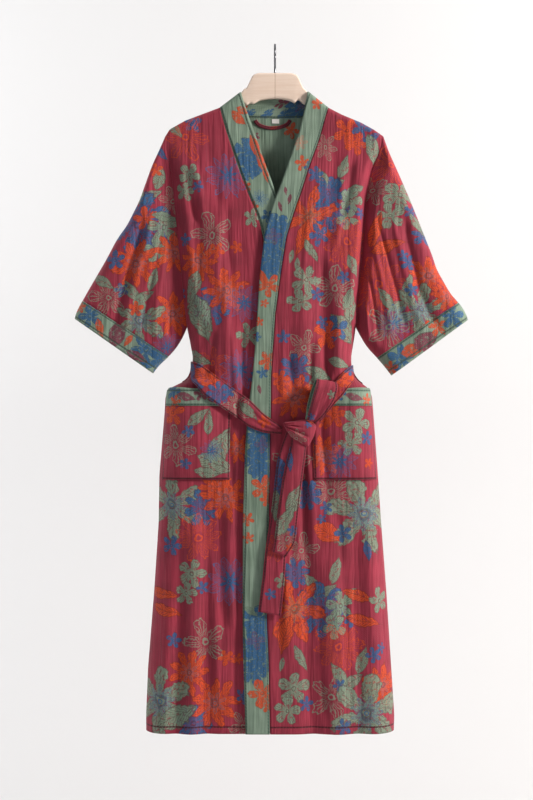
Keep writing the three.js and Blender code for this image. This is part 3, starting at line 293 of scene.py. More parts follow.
def neckBandGrid():
    rows = neckBandRows
    along = pathLength(rows)
    ends = np.array([0, 0.6, 1.3, 2.2, 3.5, 5.2, 7.4])
    stops = np.concatenate([ends, np.linspace(10, along[-1] - 10, 60), along[-1] - ends[::-1]])
    table = softTable(stops, along, rows, 2)
    t = np.linspace(-0.012, 1, 13)[None, :]
    x, z = betweenEdges(table, t)
    return np.stack([x, backY(x, z), z], 2)


sleeves = {
    "left": {
        "sign": -1, "valley": 46, "depth": 19,
        "outer": [
            (-210.8, -174), (-222, -200), (-236, -230), (-260, -298), (-283, -344), (-303, -372),
            (-324.5, -413), (-354, -463.7), (-369, -490), (-381, -512), (-383.4, -524)],
        "lower": [
            (-171, -538), (-179, -559), (-190, -578), (-202, -593), (-216, -606), (-225.8, -615),
            (-234.5, -628)],
        "creases": [
            (-5, 9, 0.10, 0.32, 0.42, 0.98), (3.4, 9, 0.16, 0.22, 0.50, 0.9),
            (-3.4, 8, 0.30, 0.1, 0.66, 0.86), (2.6, 9, 0.42, 0.12, 0.78, 0.8),
            (-3.0, 9, 0.60, 0.08, 0.9, 0.6), (2.2, 8, 0.74, 0.05, 0.96, 0.5)]},
    "right": {
        "sign": 1, "valley": 18, "depth": 23,
        "outer": [
            (208.3, -174), (220, -207), (238, -247), (259, -296), (281, -351), (302.6, -406), (309, -428),
            (335.6, -475.4), (356.2, -498.8), (367, -516), (369, -526)],
        "lower": [
            (157, -538), (166, -556), (176.6, -575.4), (187, -588), (197.4, -599), (211, -615),
            (224, -632)],
        "creases": [
            (-5, 9, 0.10, 0.30, 0.34, 0.98), (3.2, 9, 0.18, 0.24, 0.46, 0.94),
            (-3.8, 8, 0.32, 0.12, 0.60, 0.9), (2.8, 9, 0.46, 0.1, 0.74, 0.8),
            (-3.2, 9, 0.62, 0.06, 0.88, 0.66), (2.4, 8, 0.76, 0.05, 0.95, 0.5)]},
}


def cornerLine(corners, t):  # place on a line of corners at shares t of its length
    c = np.array(corners, float)
    along = pathLength(c)
    at = np.asarray(t, float) * along[-1]
    return softInterp(at, along, c[:, 0], 10), softInterp(at, along, c[:, 1], 10), along[-1]


cuffs = {"outerWidth": 38, "lowerWidth": 44}


def lowerShare(sleeve, t):  # the lower edge is shorter than the outer one, the cuff about as wide at both
    seam = 1 - cuffs["outerWidth"] / cornerLine(sleeve["outer"], 0)[2]
    lowerSeam = 1 - cuffs["lowerWidth"] / cornerLine(sleeve["lower"], 0)[2]
    return np.where(t < seam, t / seam * lowerSeam, mix(lowerSeam, 1, (t - seam) / (1 - seam)))


def sleevePlace(sleeve, s, t):
    outerX, outerZ, _ = cornerLine(sleeve["outer"], t)
    lowerX, lowerZ, _ = cornerLine(sleeve["lower"], lowerShare(sleeve, t))
    (ox, oz), (lx, lz) = sleeve["outer"][0], sleeve["lower"][0]
    z0 = mix(oz, lz, s)
    armX = section(z0, 1 if sleeve["sign"] < 0 else 2) + sleeve["sign"] * robe["armholeGap"]
    return mix(outerX, lowerX, s) + (1 - t) * (armX - mix(ox, lx, s)), mix(outerZ, lowerZ, s), armX


def sleeveGrid(sleeve, shares, count=168):
    grid = []
    angle = 2 * np.pi * np.arange(count) / count
    s = (1 - np.cos(angle)) / 2
    for t in shares:
        x, z, armX = sleevePlace(sleeve, s, np.full(count, t))
        opened = (1 - np.cos(np.pi * np.clip(np.abs(x - armX) / sleeve["valley"], 0, 1))) / 2
        full = mix(robe["armholePinch"], sleeve["depth"], opened)
        length = math.hypot(x[0] - x[count // 2], z[0] - z[count // 2])
        edge = np.clip(np.minimum(s, 1 - s) * length / full, 0, 1)
        for height, width, s0, t0, s1, t1 in sleeve["creases"]:  # shares across and along the sleeve
            k = (t - t0) / (t1 - t0)
            fade = float(smooth(0, 0.2, k) * (1 - smooth(0.85, 1.05, k)))
            k = np.clip(k, 0, 1)
            full = full + height * fade * np.exp(-((s - mix(s0, s1, k)) * length / width) ** 2) * opened
        y = -np.sign(np.sin(angle)) * full * np.sqrt(1 - (1 - edge) ** 2)
        y[np.abs(np.sin(angle)) < 1e-6] = 0
        grid.append(np.stack([x, y, z], 1))
    return np.array(grid)


def outerFrontY(x, z):
    x, z = np.asarray(x, float), np.asarray(z, float)
    px = np.clip(x, section(z, 1), section(z, 2))
    over = px >= bandEdge(rightBandRows, z, 2) - 2
    isBand = over & (px <= bandEdge(rightBandRows, z, 0) + 2)
    wall = np.where(isBand, robe["bandWall"], robe["panelWall"]) / 2
    return np.where(over, frontY(px, z, "over"), frontY(px, z, "under")) - wall


def outerNormal(x, z):
    step = 1.5
    low, high = np.maximum(x - step, section(z, 1)), np.minimum(x + step, section(z, 2))
    slopeX = (outerFrontY(high, z) - outerFrontY(low, z)) / (high - low)
    slopeZ = (outerFrontY(x, z + step) - outerFrontY(x, z - step)) / (2 * step)
    n = np.stack([slopeX, -np.ones_like(slopeX), slopeZ], -1)
    return n / np.linalg.norm(n, axis=-1, keepdims=True)


pocketForm = {
    "heights": np.array([-650, -690, -720, -755, -790, -815, -826, -831], float),
    "puffs": np.array([1, 1, 1, 0.92, 0.72, 0.42, 0.16, 0]),
    "bulge": 7.6, "openShare": 0.85, "mouthZ": -657, "topZ": -659,
    "seamZ": -691, "bottomZ": -831, "lift": 0.7,
}
pockets = {
    "left": {"outer": (-204.5, -207, -213.5), "inner": (-84, -84, -87)},
    "right": {"outer": (180, 182.5, 192), "inner": (70, 70, 73)},
}


def pocketX(pocket, t, z):
    form = pocketForm
    fromTop = np.clip((z - form["mouthZ"]) / (form["seamZ"] - form["mouthZ"]), 0, 1)
    fromSeam = np.clip((z - form["seamZ"]) / (form["bottomZ"] - form["seamZ"]), 0, 1)
    outer, inner = (mix(mix(side[0], side[1], fromTop), side[2], fromSeam)
                    for side in (pocket["outer"], pocket["inner"]))
    return mix(outer, inner, t)


def pocketPuff(t, z):
    form = pocketForm
    middle = np.sin(np.pi * np.clip(t / form["openShare"], 0, 1)) ** 0.8
    return form["bulge"] * middle * np.interp(-z, -form["heights"], form["puffs"])


def pocketGrid(pocket, heights, wall):
    t = np.linspace(0, 1, 40) ** 1.25
    z = np.asarray(heights, float)[:, None] * np.ones_like(t)[None, :]
    x = pocketX(pocket, t[None, :], z)
    out = pocketForm["lift"] + wall / 2 + pocketPuff(t[None, :], z)
    base = np.stack([x, outerFrontY(x, z), z], 2)
    return base + outerNormal(x, z) * out[..., None]


beltForm = {  # row step along the belt, and how far it lies out from the cloth beneath
    "step": 3.5, "lift": 0.3, "sideLift": 1.7, "backLift": 1.9, "pocketLift": 2.2,
    "backUpperZ": (-606, -616), "backLowerZ": (-645, -648),
}


def beltBaseY(x, z):
    best = np.zeros(np.broadcast(x, z).shape)
    for dx in (-10, -5, 0, 5, 10):
        for dz in (-7, 0, 7):
            zz = z + dz
            px = np.clip(x + dx, section(zz, 1), section(zz, 2))
            here = outerFrontY(px, zz)
            for pocket in pockets.values():
                outer, inner = pocketX(pocket, 0, zz), pocketX(pocket, 1, zz)
                t = (px - outer) / (inner - outer)
                on = (t >= 0) & (t <= 1) & (zz < pocketForm["heights"][0]) & (zz > pocketForm["bottomZ"])
                here = here - on * (pocketForm["lift"] + robe["pocketWall"] + beltForm["pocketLift"]
                                    + pocketPuff(t, zz))
            best = np.minimum(best, here)
    return best


# upper x, z and lower x, z from the side to the knot
beltLeftRows = np.array([
    (-157.6, -606, -157.6, -645), (-152, -607, -157, -646.5), (-143, -611, -147, -652),
    (-131, -619, -136.7, -669), (-104.8, -639.4, -102.5, -693.1), (-77, -659, -73, -713),
    (-48.6, -678.7, -51, -730.2), (-19.2, -708.1, -24.2, -741.1), (2, -722, 0, -744),
    (13, -730, 12, -745)], float)
beltRightRows = np.array([
    (145.8, -613, 149, -645), (141, -615, 145, -648), (134, -621, 138, -656), (122, -634, 128, -671),
    (110, -652, 113, -686), (98, -676, 101, -702), (88, -696, 90, -716), (83, -706, 84, -722)], float)


def rowsAlong(rows, step, soft=8):
    along = pathLength(rows)
    stops = np.linspace(0, along[-1], int(along[-1] / step) + 1)
    return softTable(stops, along, rows, soft), stops / along[-1]


def beltFrontGrid(rows, gathers):
    table, share = rowsAlong(rows, beltForm["step"])
    t = np.linspace(0, 1, 17)[None, :]
    x, z = betweenEdges(table, t)
    left, right = section(z, 1), section(z, 2)
    x = np.clip(x, left, right)
    edge = np.minimum(x - left, right - x)
    out = robe["beltWall"] / 2 + robe["seamGap"] + beltForm["lift"]
    atSide = np.stack([x, outerFrontY(x, z), z], 2) + outerNormal(x, z) * (out + beltForm["sideLift"])
    inFront = np.stack([x, beltBaseY(x, z) - out, z], 2)
    grid = mix(atSide, inFront, smooth(12, 40, edge)[..., None])
    pull = smooth(0.35, 1, share)[:, None]
    wave = 0
    for height, at, width in gathers:  # creases that run into the knot
        wave = wave + height * np.exp(-((t - at) / width) ** 2)
    grid[..., 1] -= np.maximum(wave, 0) * pull + 0.6 * np.sin(share * 23)[:, None] * np.sin(np.pi * t) ** 2
    return grid


def beltBackGrid():
    share = np.linspace(0, 1, 120)[:, None]
    t = np.linspace(0, 1, 13)[None, :]
    out = robe["panelWall"] / 2 + robe["seamGap"] + beltForm["backLift"] + robe["beltWall"] / 2
    z = mix(mix(*beltForm["backUpperZ"], share), mix(*beltForm["backLowerZ"], share), t)
    left, right = section(z, 1), section(z, 2)
    angle = np.pi * share
    x = (left + right) / 2 - np.cos(angle) * (right - left) / 2
    ridge = np.max([backY(np.clip(x + dx, left, right), z) for dx in (-8, -4, 0, 4, 8)], axis=0)
    y = np.maximum(ridge + out * np.sqrt(np.abs(np.sin(angle))), robe["seamGap"])
    return np.stack([x - np.cos(angle) * out, y, z], 2)


def tailGrid(rows, lift, curl):
    rows = np.array(rows, float)  # left x, left z, right x, right z
    table, share = rowsAlong(rows, beltForm["step"], 6)
    t = np.linspace(0, 1, 13)[None, :]
    x, z = betweenEdges(table, t)
    patch = np.min([outerFrontY(x + dx, z) for dx in (-14, -7, 0, 7, 14)], axis=0)
    y = patch.min(axis=1, keepdims=True) - lift
    y = y - curl * np.sin(np.pi * t) * (1 - smooth(0.1, 0.9, share))[:, None] * 2
    y = y - 0.7 * np.sin(share * 9 + 1)[:, None] * np.sin(np.pi * t)
    return np.stack([x, y * np.ones_like(x), z], 2)


tails = {
    "rear": [
        (22, -737, 42, -744), (10, -769.3, 42, -769.3), (3, -800, 38, -800), (-4, -863, 34, -863),
        (-10, -910, 29, -910), (-18.6, -963, 21, -963), (-24, -1017, 18.2, -1017),
        (-32, -1079, 11, -1086.7)],
    "front": [
        (31, -744, 56, -752), (29, -767, 59.5, -767), (20, -800, 55.5, -800), (13.4, -830.6, 51.5, -830.6),
        (5, -890, 44.5, -890), (-2.5, -950, 38, -950), (-5.8, -965.8, 21.1, -975)],
}
knotY = float(np.min([outerFrontY(39.0, -742), outerFrontY(45.0, -742), outerFrontY(51.0, -742)])) - 1
# left x, left z, right x, right z, distance out from what lies below
loopRows = [
    (60, -716.6, 77, -723, 12), (61, -708, 92, -710, 18), (68, -682, 112, -679, 23),
    (76, -654, 118, -658, 22), (79, -641, 117, -648, 18), (78, -638, 115, -645, 11),
    (74, -644, 110, -650, 6), (68, -660, 104, -664, 4.2), (60, -690, 92, -690, 4.2),
    (57, -716, 74, -721.5, 4.2)]


def loopGrid():
    rows = np.array(loopRows, float)
    base = np.array([min(beltBaseY(np.array([r[0], (r[0] + r[2]) / 2, r[2]]), r[1])) for r in rows])
    corners = np.array([[r[0], b - r[4], r[1], r[2], b - r[4], r[3]] for r, b in zip(rows, base)])
    along = np.concatenate([[0], np.cumsum(np.linalg.norm(np.diff(corners[:, :3], axis=0), axis=1))])
    stops = np.linspace(0, along[-1], 72)
    table = softTable(stops, along, corners, 7)
    t = np.linspace(0, 1, 17)
    grid = mix(table[:, None, :3], table[:, None, 3:], t[None, :, None])
    share = stops / along[-1]
    gather = np.exp(-((t - 0.35) / 0.12) ** 2) * 1.8 - np.exp(-((t - 0.62) / 0.1) ** 2) * 1.4
    ends = (1 - smooth(0, 0.45, share)) - 0.6 * smooth(0.75, 1, share)
    grid[..., 1] -= ends[:, None] * gather[None, :]
    return grid


hangLoopRows = np.array([(-38, -141), (-35, -148), (-26, -153), (-12, -156.5), (3, -156.5), (17, -153),
                         (26, -148), (29, -141)], float)


def hangLoopGrid():
    c = hangLoopRows
    along = pathLength(c)
    stops = np.linspace(0, along[-1], 50)
    x, z = softTable(stops, along, c, 5).T
    across = np.stack([-np.gradient(z), np.gradient(x)], 1)
    across /= np.linalg.norm(across, axis=1, keepdims=True)
    t = np.linspace(-3.4, 3.4, 7)[None, :]
    gx, gz = x[:, None] + across[:, :1] * t, z[:, None] + across[:, 1:] * t
    return np.stack([gx, backY(gx, gz) - 1.8 - 0.4 * np.cos(t / 3.4 * np.pi / 2) * np.ones_like(gx), gz], 2)


def labelGrid():
    x, z = np.meshgrid(np.linspace(-6, 8, 15), np.linspace(-139, -147.5, 10))
    return np.stack([x, backY(x, z) - 1.5, z], 2)


def linearColour(hexText):
    values = [int(hexText[i:i + 2], 16) / 255 for i in (1, 3, 5)]
    return tuple(v / 12.92 if v <= 0.04045 else ((v + 0.055) / 1.055) ** 2.4 for v in values) + (1.0,)


def addNode(tree, kind, links=None, **settings):  # links: input name or number -> socket or value
    node = tree.nodes.new(kind)
    for key, value in settings.items():
        setattr(node, key, value)
    for key, value in (links or {}).items():
        if isinstance(value, bpy.types.NodeSocket):
            tree.links.new(value, node.inputs[key])
        else:
            node.inputs[key].default_value = value
    return node


mathNames = {ast.Add: "ADD", ast.Sub: "SUBTRACT", ast.Mult: "MULTIPLY", ast.Div: "DIVIDE", ast.Pow: "POWER",
             "sin": "SINE", "abs": "ABSOLUTE", "fract": "FRACT", "floor": "FLOOR", "sqrt": "SQRT",
             "min": "MINIMUM", "max": "MAXIMUM", "atan2": "ARCTAN2", "above": "GREATER_THAN"}


def arithmetic(tree, operation, *values):
    return addNode(tree, "ShaderNodeMath", dict(enumerate(values)), operation=operation).outputs[0]


def formula(tree, text, **given):  # a line of arithmetic as math nodes; ramp(x, a, b) is a soft step
    def build(part):
        if isinstance(part, ast.Constant):
            return float(part.value)
        if isinstance(part, ast.Name):
            return given[part.id]
        if isinstance(part, ast.UnaryOp):
            return arithmetic(tree, "MULTIPLY", build(part.operand), -1.0)
        if isinstance(part, ast.BinOp):
            return arithmetic(tree, mathNames[type(part.op)], build(part.left), build(part.right))
        values = [build(a) for a in part.args]
        if part.func.id == "ramp":
            links = {0: values[0], 1: values[1], 2: values[2], 3: 0.0, 4: 1.0}
            return addNode(tree, "ShaderNodeMapRange", links, interpolation_type="SMOOTHSTEP").outputs[0]
        return arithmetic(tree, mathNames[part.func.id], *values)
    return build(ast.parse(text, mode="eval").body)


def noise(tree, place, scale, detail, output=0, **more):
    links = {"Vector": place, "Scale": scale, "Detail": detail, **more}
    return addNode(tree, "ShaderNodeTexNoise", links).outputs[output]


def mixColours(tree, share, low, high, **settings):
    links = {0: share, 6: low, 7: high}
    return addNode(tree, "ShaderNodeMix", links, data_type="RGBA", **settings).outputs[2]


def split(tree, vector):
    return addNode(tree, "ShaderNodeSeparateXYZ", {0: vector}).outputs


def attribute(tree, name, output="Vector"):
    return addNode(tree, "ShaderNodeAttribute", attribute_name=name).outputs[output]


def bumped(tree, strength, distance, height, **more):
    links = {"Strength": strength, "Distance": distance, "Height": height, **more}
    return addNode(tree, "ShaderNodeBump", links).outputs[0]


def addSurface(tree, links):
    shader = addNode(tree, "ShaderNodeBsdfPrincipled", links)
    addNode(tree, "ShaderNodeOutputMaterial", {"Surface": shader.outputs[0]})


def newMaterial(name):
    material = bpy.data.materials.new(name)
    material.use_nodes = True
    tree = material.node_tree
    tree.nodes.clear()
    return material, tree


# One woven motif: a filled flower, a flower in outline or a filled leaf, from its own coordinates on the cloth
motifInks = {
    "orange": "#D24A1E", "blue": "#2C5E8E", "sage": "#7C917C", "teal": "#3B6A7C", "rose": "#84304A",
    "darkSage": "#5F7663",
}
motifLayers = 5


def jacquardMotifGroup():
    tree = bpy.data.node_groups.new("jacquardMotif", "ShaderNodeTree")
    for name in ("Place", "Shape", "Drift"):
        tree.interface.new_socket(name, in_out="INPUT", socket_type="NodeSocketVector")
    for name in ("Fill", "Line"):
        tree.interface.new_socket(name, in_out="OUTPUT", socket_type="NodeSocketFloat")
    source = addNode(tree, "NodeGroupInput").outputs
    place, shape, drift = (split(tree, source[name]) for name in ("Place", "Shape", "Drift"))
    x = formula(tree, "x + (d - 0.5) * 0.5", x=place[0], d=drift[0])
    y = formula(tree, "y + (d - 0.5) * 0.5", y=place[1], d=drift[1])
    n, q, kind = shape[0], shape[1], shape[2]
    r = formula(tree, "sqrt(x * x + y * y)", x=x, y=y)
    turn = formula(tree, "atan2(y, x) / 6.28318 + s", x=x, y=y, s=place[2])
    petal = formula(tree, "abs(fract(t * n + 0.5) - 0.5) * 2", t=turn, n=n)
    notch = formula(tree, "0.2 + 0.42 * ramp(n, 6.5, 11)", n=n)
    rim = formula(tree, "w + (0.98 - w) * (1 - p ** q) + 0.03 * sin(t * 6.28318 * n * 5) * k"
                        " + (d - 0.5) * 0.36",
                  w=notch, p=petal, q=q, t=turn, n=n, k=place[2], d=drift[2])
    flower = formula(tree, "ramp(rim - r, 0 - 0.01, 0.03)", rim=rim, r=r)
    outline = formula(tree, "1 - ramp(abs(rim - r - 0.02), 0.01, 0.04)", rim=rim, r=r)
    inner = formula(tree, "abs(fract(t * n) - 0.5) * 2", t=turn, n=n)
    innerRim = formula(tree, "0.2 + 0.42 * (1 - p ** q)", p=inner, q=q)
    whorl = formula(tree, "(1 - ramp(abs(rim - r), 0.012, 0.04)) * 0.7", rim=innerRim, r=r)
    vein = formula(tree, "(1 - ramp(abs(fract(t * n * 6 + 0.5) - 0.5) * 2, 0.12, 0.5)) * ramp(r, 0.2, 0.3)"
                         " * (1 - ramp(r, rim * 0.8, rim * 0.97)) * 0.85", t=turn, n=n, r=r, rim=rim)
    parting = formula(tree, "ramp(p, 0.86, 0.97) * ramp(r, 0.2, 0.3) * f", p=petal, r=r, f=flower)
    heart = formula(tree, "(1 - ramp(abs(r - 0.12), 0.02, 0.05)) * f", r=r, f=flower)
    flowerLine = formula(tree, "max(max(outline, whorl), max(max(vein, parting), heart))",
                         outline=outline, whorl=whorl, vein=vein, parting=parting, heart=heart)
    half = formula(tree, "q * max(1 - x * x, 0) * (1 - 0.3 * x)", q=q, x=x)
    leaf = formula(tree, "ramp(h - abs(y), 0 - 0.005, 0.025) * ramp(1 - abs(x), 0, 0.02)", h=half, y=y, x=x)
    leafEdge = formula(tree, "1 - ramp(abs(h - abs(y) - 0.012), 0.012, 0.035)", h=half, y=y)
    rib = formula(tree, "1 - ramp(abs(y), 0.01, 0.03)", y=y)
    sideVein = formula(tree, "(1 - ramp(abs(fract((x + abs(y) * 1.3) * n * 1.5) - 0.5) * 2, 0.15, 0.5))"
                             " * 0.85", x=x, y=y, n=n)
    leafLine = formula(tree, "max(e, max(rib, v) * ramp(l, 0.1, 0.6))",
                       e=leafEdge, rib=rib, v=sideVein, l=leaf)
    isLeaf = formula(tree, "above(k, 2.5)", k=kind)
    isOn = formula(tree, "above(k, 0.5)", k=kind)
    isLineOnly = formula(tree, "above(k, 1.5) - above(k, 2.5)", k=kind)
    fill = formula(tree, "(f * (1 - leafy) + l * leafy) * on * (1 - drawn)",
                   f=flower, l=leaf, leafy=isLeaf, on=isOn, drawn=isLineOnly)
    line = formula(tree, "(f * (1 - leafy) + l * leafy) * on",
                   f=flowerLine, l=leafLine, leafy=isLeaf, on=isOn)
    inside = formula(tree, "ramp(rim - r, 0 - 0.05, 0) * (1 - leafy) + ramp(h - abs(y), 0 - 0.03, 0) * leafy",
                     rim=rim, r=r, h=half, y=y, leafy=isLeaf)
    line = formula(tree, "line * inside", line=line, inside=inside)
    addNode(tree, "NodeGroupOutput", {"Fill": fill, "Line": line})
    return tree


# Cotton gauze jacquard, yarn-dyed and woven in two layers: matt with a soft sheen, slubby upright
# threads that catch the light in streaks, and motifs that are part of the weave
clothLook = {
    "rose": {"ground": "#A13145", "shade": "#892A3B", "line": "#451520"},
    "sage": {"ground": "#869A88", "shade": "#708573", "line": "#42554A"},
    "threadPitchMm": 3.4,   # real threads are under 1 mm, drawn coarser so that they show
    "streakMm": 2.4, "streakLengthMm": 80.0, "blotchMm": 45.0,
    "driftMm": 30.0, "brokenMm": 6.0, "specklesPerMetre": 520.0,
    "wrinkleMm": 11.0, "wrinkleLengthMm": 120.0, "roughness": 0.72,
}


def jacquardMaterial(name, look, motifGroup):
    material, tree = newMaterial(name)
    cloth = attribute(tree, "cloth")  # metres on the cloth
    flat = split(tree, cloth)
    across, along = flat[0], flat[1]
    streak, wrinkle = (noise(tree, addNode(tree, "ShaderNodeCombineXYZ", {
        0: formula(tree, f"a * {1000 / clothLook[kind + 'Mm']}", a=across),
        1: formula(tree, f"a * {1000 / clothLook[kind + 'LengthMm']}", a=along)}).outputs[0], 1.0, detail)
        for kind, detail in (("streak", 3.0), ("wrinkle", 2.0)))
    blotch = noise(tree, cloth, 1000 / clothLook["blotchMm"], 2.0)
    drift = noise(tree, cloth, 1000 / clothLook["driftMm"], 5.0, "Color", Roughness=0.66)
    speckle = noise(tree, cloth, clothLook["specklesPerMetre"], 1.0)
    broken = noise(tree, cloth, 1000 / clothLook["brokenMm"], 2.0)
    groundMix = formula(tree, "ramp(s * 0.5 + b * 0.5, 0.35, 0.65)", s=streak, b=blotch)
    colour = mixColours(tree, groundMix, linearColour(look["shade"]), linearColour(look["ground"]))
    for layer in range(motifLayers):
        place, shape = (attribute(tree, f"motif{part}{layer}") for part in ("Place", "Shape"))
        ink = attribute(tree, f"motifInk{layer}", "Color")
        motif = addNode(tree, "ShaderNodeGroup", node_tree=motifGroup)
        for socket, value in (("Place", place), ("Shape", shape), ("Drift", drift)):
            tree.links.new(value, motif.inputs[socket])
        fill, line = motif.outputs["Fill"], motif.outputs["Line"]
        kind = split(tree, shape)[2]
        drawn = formula(tree, "above(k, 1.5) - above(k, 2.5)", k=kind)
        woven = formula(tree, "f * (0.8 + 0.2 * ramp(s, 0.36, 0.6)) * (1 - 0.7 * ramp(g, 0.54, 0.64))",
                        f=fill, s=speckle, g=broken)
        colour = mixColours(tree, woven, colour, ink)
        tint = formula(tree, "0.18 + d * 0.82", d=drawn)
        lineTone = mixColours(tree, tint, linearColour(look["line"]), ink)
        lineShare = formula(tree, "l * (0.7 + 0.1 * d)", l=line, d=drawn)
        colour = mixColours(tree, lineShare, colour, lineTone)
    pitch = 6283.185 / clothLook["threadPitchMm"]
    thread = formula(tree, f"sin(a * {pitch}) * sin(b * {pitch})", a=across, b=along)
    tone = formula(tree, "0.9 + 0.12 * s + 0.1 * p + 0.03 * t", s=streak, p=speckle, t=thread)
    grey = addNode(tree, "ShaderNodeCombineColor", {0: tone, 1: tone, 2: tone}).outputs[0]
    colour = mixColours(tree, 1.0, colour, grey, blend_type="MULTIPLY")
    stitchAndShadeLines = split(tree, attribute(tree, "stitchAndShadeLines"))
    # The stitch lines, in the line colour. The dashes are the thread. The solid dark line that stays between
    # the dashes (0.62 of the way to the line colour) is painted shade: it stands for the groove of each seam
    # and the shadow along pocket, band, belt and hem edges.
    seam = formula(tree, "1 - ramp(min(abs(d), abs(e)), 0.7, 2.4)", d=stitchAndShadeLines[0], e=stitchAndShadeLines[2])
    dash = formula(tree, "ramp(abs(fract(s / 6) - 0.5), 0.1, 0.2)", s=stitchAndShadeLines[1])
    colour = mixColours(tree, formula(tree, "m * (0.62 + 0.3 * d)", m=seam, d=dash), colour,
                        linearColour(look["line"]))
    height = formula(tree, "s * 0.9 + p * 0.35 + t * 0.25 + b * 0.6 - m * 0.8", s=streak, p=speckle, t=thread,
                     b=blotch, m=seam)
    bump = bumped(tree, 0.6, 0.0016, height, Normal=bumped(tree, 0.9, 0.0042, wrinkle))
    addSurface(tree, {
        "Base Color": colour, "Roughness": clothLook["roughness"], "Specular IOR Level": 0.3,
        "Sheen Weight": 0.1, "Sheen Roughness": 0.45, "Sheen Tint": (1.0, 0.86, 0.84, 1.0), "Normal": bump})
    return material


def beechMaterial():  # beech, sawn, sanded and clear lacquered: pale, faint long grain, short flecks
    material, tree = newMaterial("beechLacquered")
    place = addNode(tree, "ShaderNodeTexCoord").outputs["Object"]
    grainPlace, fleckPlace = (addNode(tree, "ShaderNodeMapping", {"Vector": place, "Scale": scale}).outputs[0]
                              for scale in ((14.0, 90.0, 260.0), (160.0, 300.0, 900.0)))
    grain = noise(tree, grainPlace, 1.0, 4.0)
    fleck = noise(tree, fleckPlace, 1.0, 2.0)
    share = formula(tree, "ramp(g * 0.8 + f * 0.2, 0.3, 0.7)", g=grain, f=fleck)
    colour = mixColours(tree, share, linearColour("#ECD2BE"), linearColour("#F4DECD"))
    x = split(tree, place)[0]
    joint = formula(tree, "1 - ramp(abs(x), 0.0003, 0.0011)", x=x)  # glue line between the two halves
    colour = mixColours(tree, formula(tree, "j * 0.55", j=joint), colour, linearColour("#A9876B"))
    bump = bumped(tree, 0.2, 0.0004, formula(tree, "g - j * 2", g=grain, j=joint))
    addSurface(tree, {"Base Color": colour, "Roughness": 0.42, "IOR": 1.5, "Coat Weight": 0.25,
                      "Coat Roughness": 0.2, "Normal": bump})
    return material


def steelMaterial():  # steel wire, drawn and dark nickel plated: smooth grey with faint draw lines
    material, tree = newMaterial("nickelPlatedWire")
    place = addNode(tree, "ShaderNodeTexCoord").outputs["Object"]
    lines = noise(tree, place, 900.0, 2.0)
    colour = mixColours(tree, formula(tree, "ramp(l, 0.3, 0.7)", l=lines), linearColour("#5A5C60"),
                        linearColour("#77797D"))
    rough = formula(tree, "0.24 + 0.14 * l", l=lines)
    addSurface(tree, {"Base Color": colour, "Metallic": 1.0, "Roughness": rough})
    return material


def tapeMaterial():  # polyester satin tape, woven: white, fine crossing ribs, a soft shine
    material, tree = newMaterial("wovenSatinTape")
    cloth = split(tree, attribute(tree, "cloth"))
    rib = formula(tree, "sin(a * 5200) * sin(b * 5200) * 0.5 + 0.5", a=cloth[0], b=cloth[1])
    colour = mixColours(tree, rib, linearColour("#DAD7D0"), linearColour("#F7F5F0"))
    bump = bumped(tree, 0.3, 0.0002, rib)
    addSurface(tree, {"Base Color": colour, "Roughness": 0.45, "Sheen Weight": 0.2, "Normal": bump})
    return material


motifGroup = jacquardMotifGroup()
roseJacquard = jacquardMaterial("roseJacquardGauze", clothLook["rose"], motifGroup)
sageReverse = jacquardMaterial("sageJacquardReverse", clothLook["sage"], motifGroup)
beech = beechMaterial()
steel = steelMaterial()
tape = tapeMaterial()
print("2/7 materials made")


pieces = {}
noStitch = 99  # a stitch line too far away to show
backShift = 1500  # a sleeve's back half lies this far across from its front half
innerShift = 5000  # the inner side's motifs are laid out this far down from the outer side's


def addObject(name, data):
    thing = bpy.data.objects.new(name, data)
    bpy.context.scene.collection.objects.link(thing)
    return thing


# Every sheet is a thin shell round its middle surface: the outer side first, then the inner side
def outwardNormals(grid, closedRing, outward):
    across = np.roll(grid, -1, 1) - np.roll(grid, 1, 1) if closedRing else np.gradient(grid, axis=1)
    normal = np.cross(np.gradient(grid, axis=0), across)
    normal /= np.maximum(np.linalg.norm(normal, axis=2, keepdims=True), 1e-9)
    wanted = grid - grid.mean(axis=1, keepdims=True) if closedRing else np.array(outward, float)
    normal *= np.sign(np.sum(normal * wanted))
    if not closedRing:
        # Two sheets meet edge to edge
        normal[..., 1] = np.where(np.abs(grid[..., 1]) < 0.5, 0, normal[..., 1])
        normal /= np.maximum(np.linalg.norm(normal, axis=2, keepdims=True), 1e-6)
    return normal


def arcLength(points, axis):
    steps = np.linalg.norm(np.diff(points, axis=axis), axis=2)
    start = np.zeros_like(np.take(steps, [0], axis=axis))
    return np.concatenate([start, np.cumsum(steps, axis=axis)], axis)


def quadCorners(values):
    return np.stack([values[:-1, :-1], values[:-1, 1:], values[1:, 1:], values[1:, :-1]], 2).reshape(
        -1, 4, values.shape[2])


def uprightCloth(grid):  # cloth places of a hanging panel: across from its middle, and down
    across = arcLength(grid, 1) * np.sign(grid[0, -1, 0] - grid[0, 0, 0])
    middle = grid.shape[1] // 2
    u = across - across[:, middle:middle + 1] + grid[:, middle:middle + 1, 0]
    return quadCorners(np.stack([u, -grid[..., 2]], 2))


def slantedCloth(grid):  # cloth places of a belt end that crosses the front at a slant
    return quadCorners(grid[..., [0, 2]] * (1, -1))


def stripCloth(grid):  # cloth places of a band or belt: across it, and along it
    return quadCorners(np.stack([arcLength(grid, 1), arcLength(grid, 0)], 2))


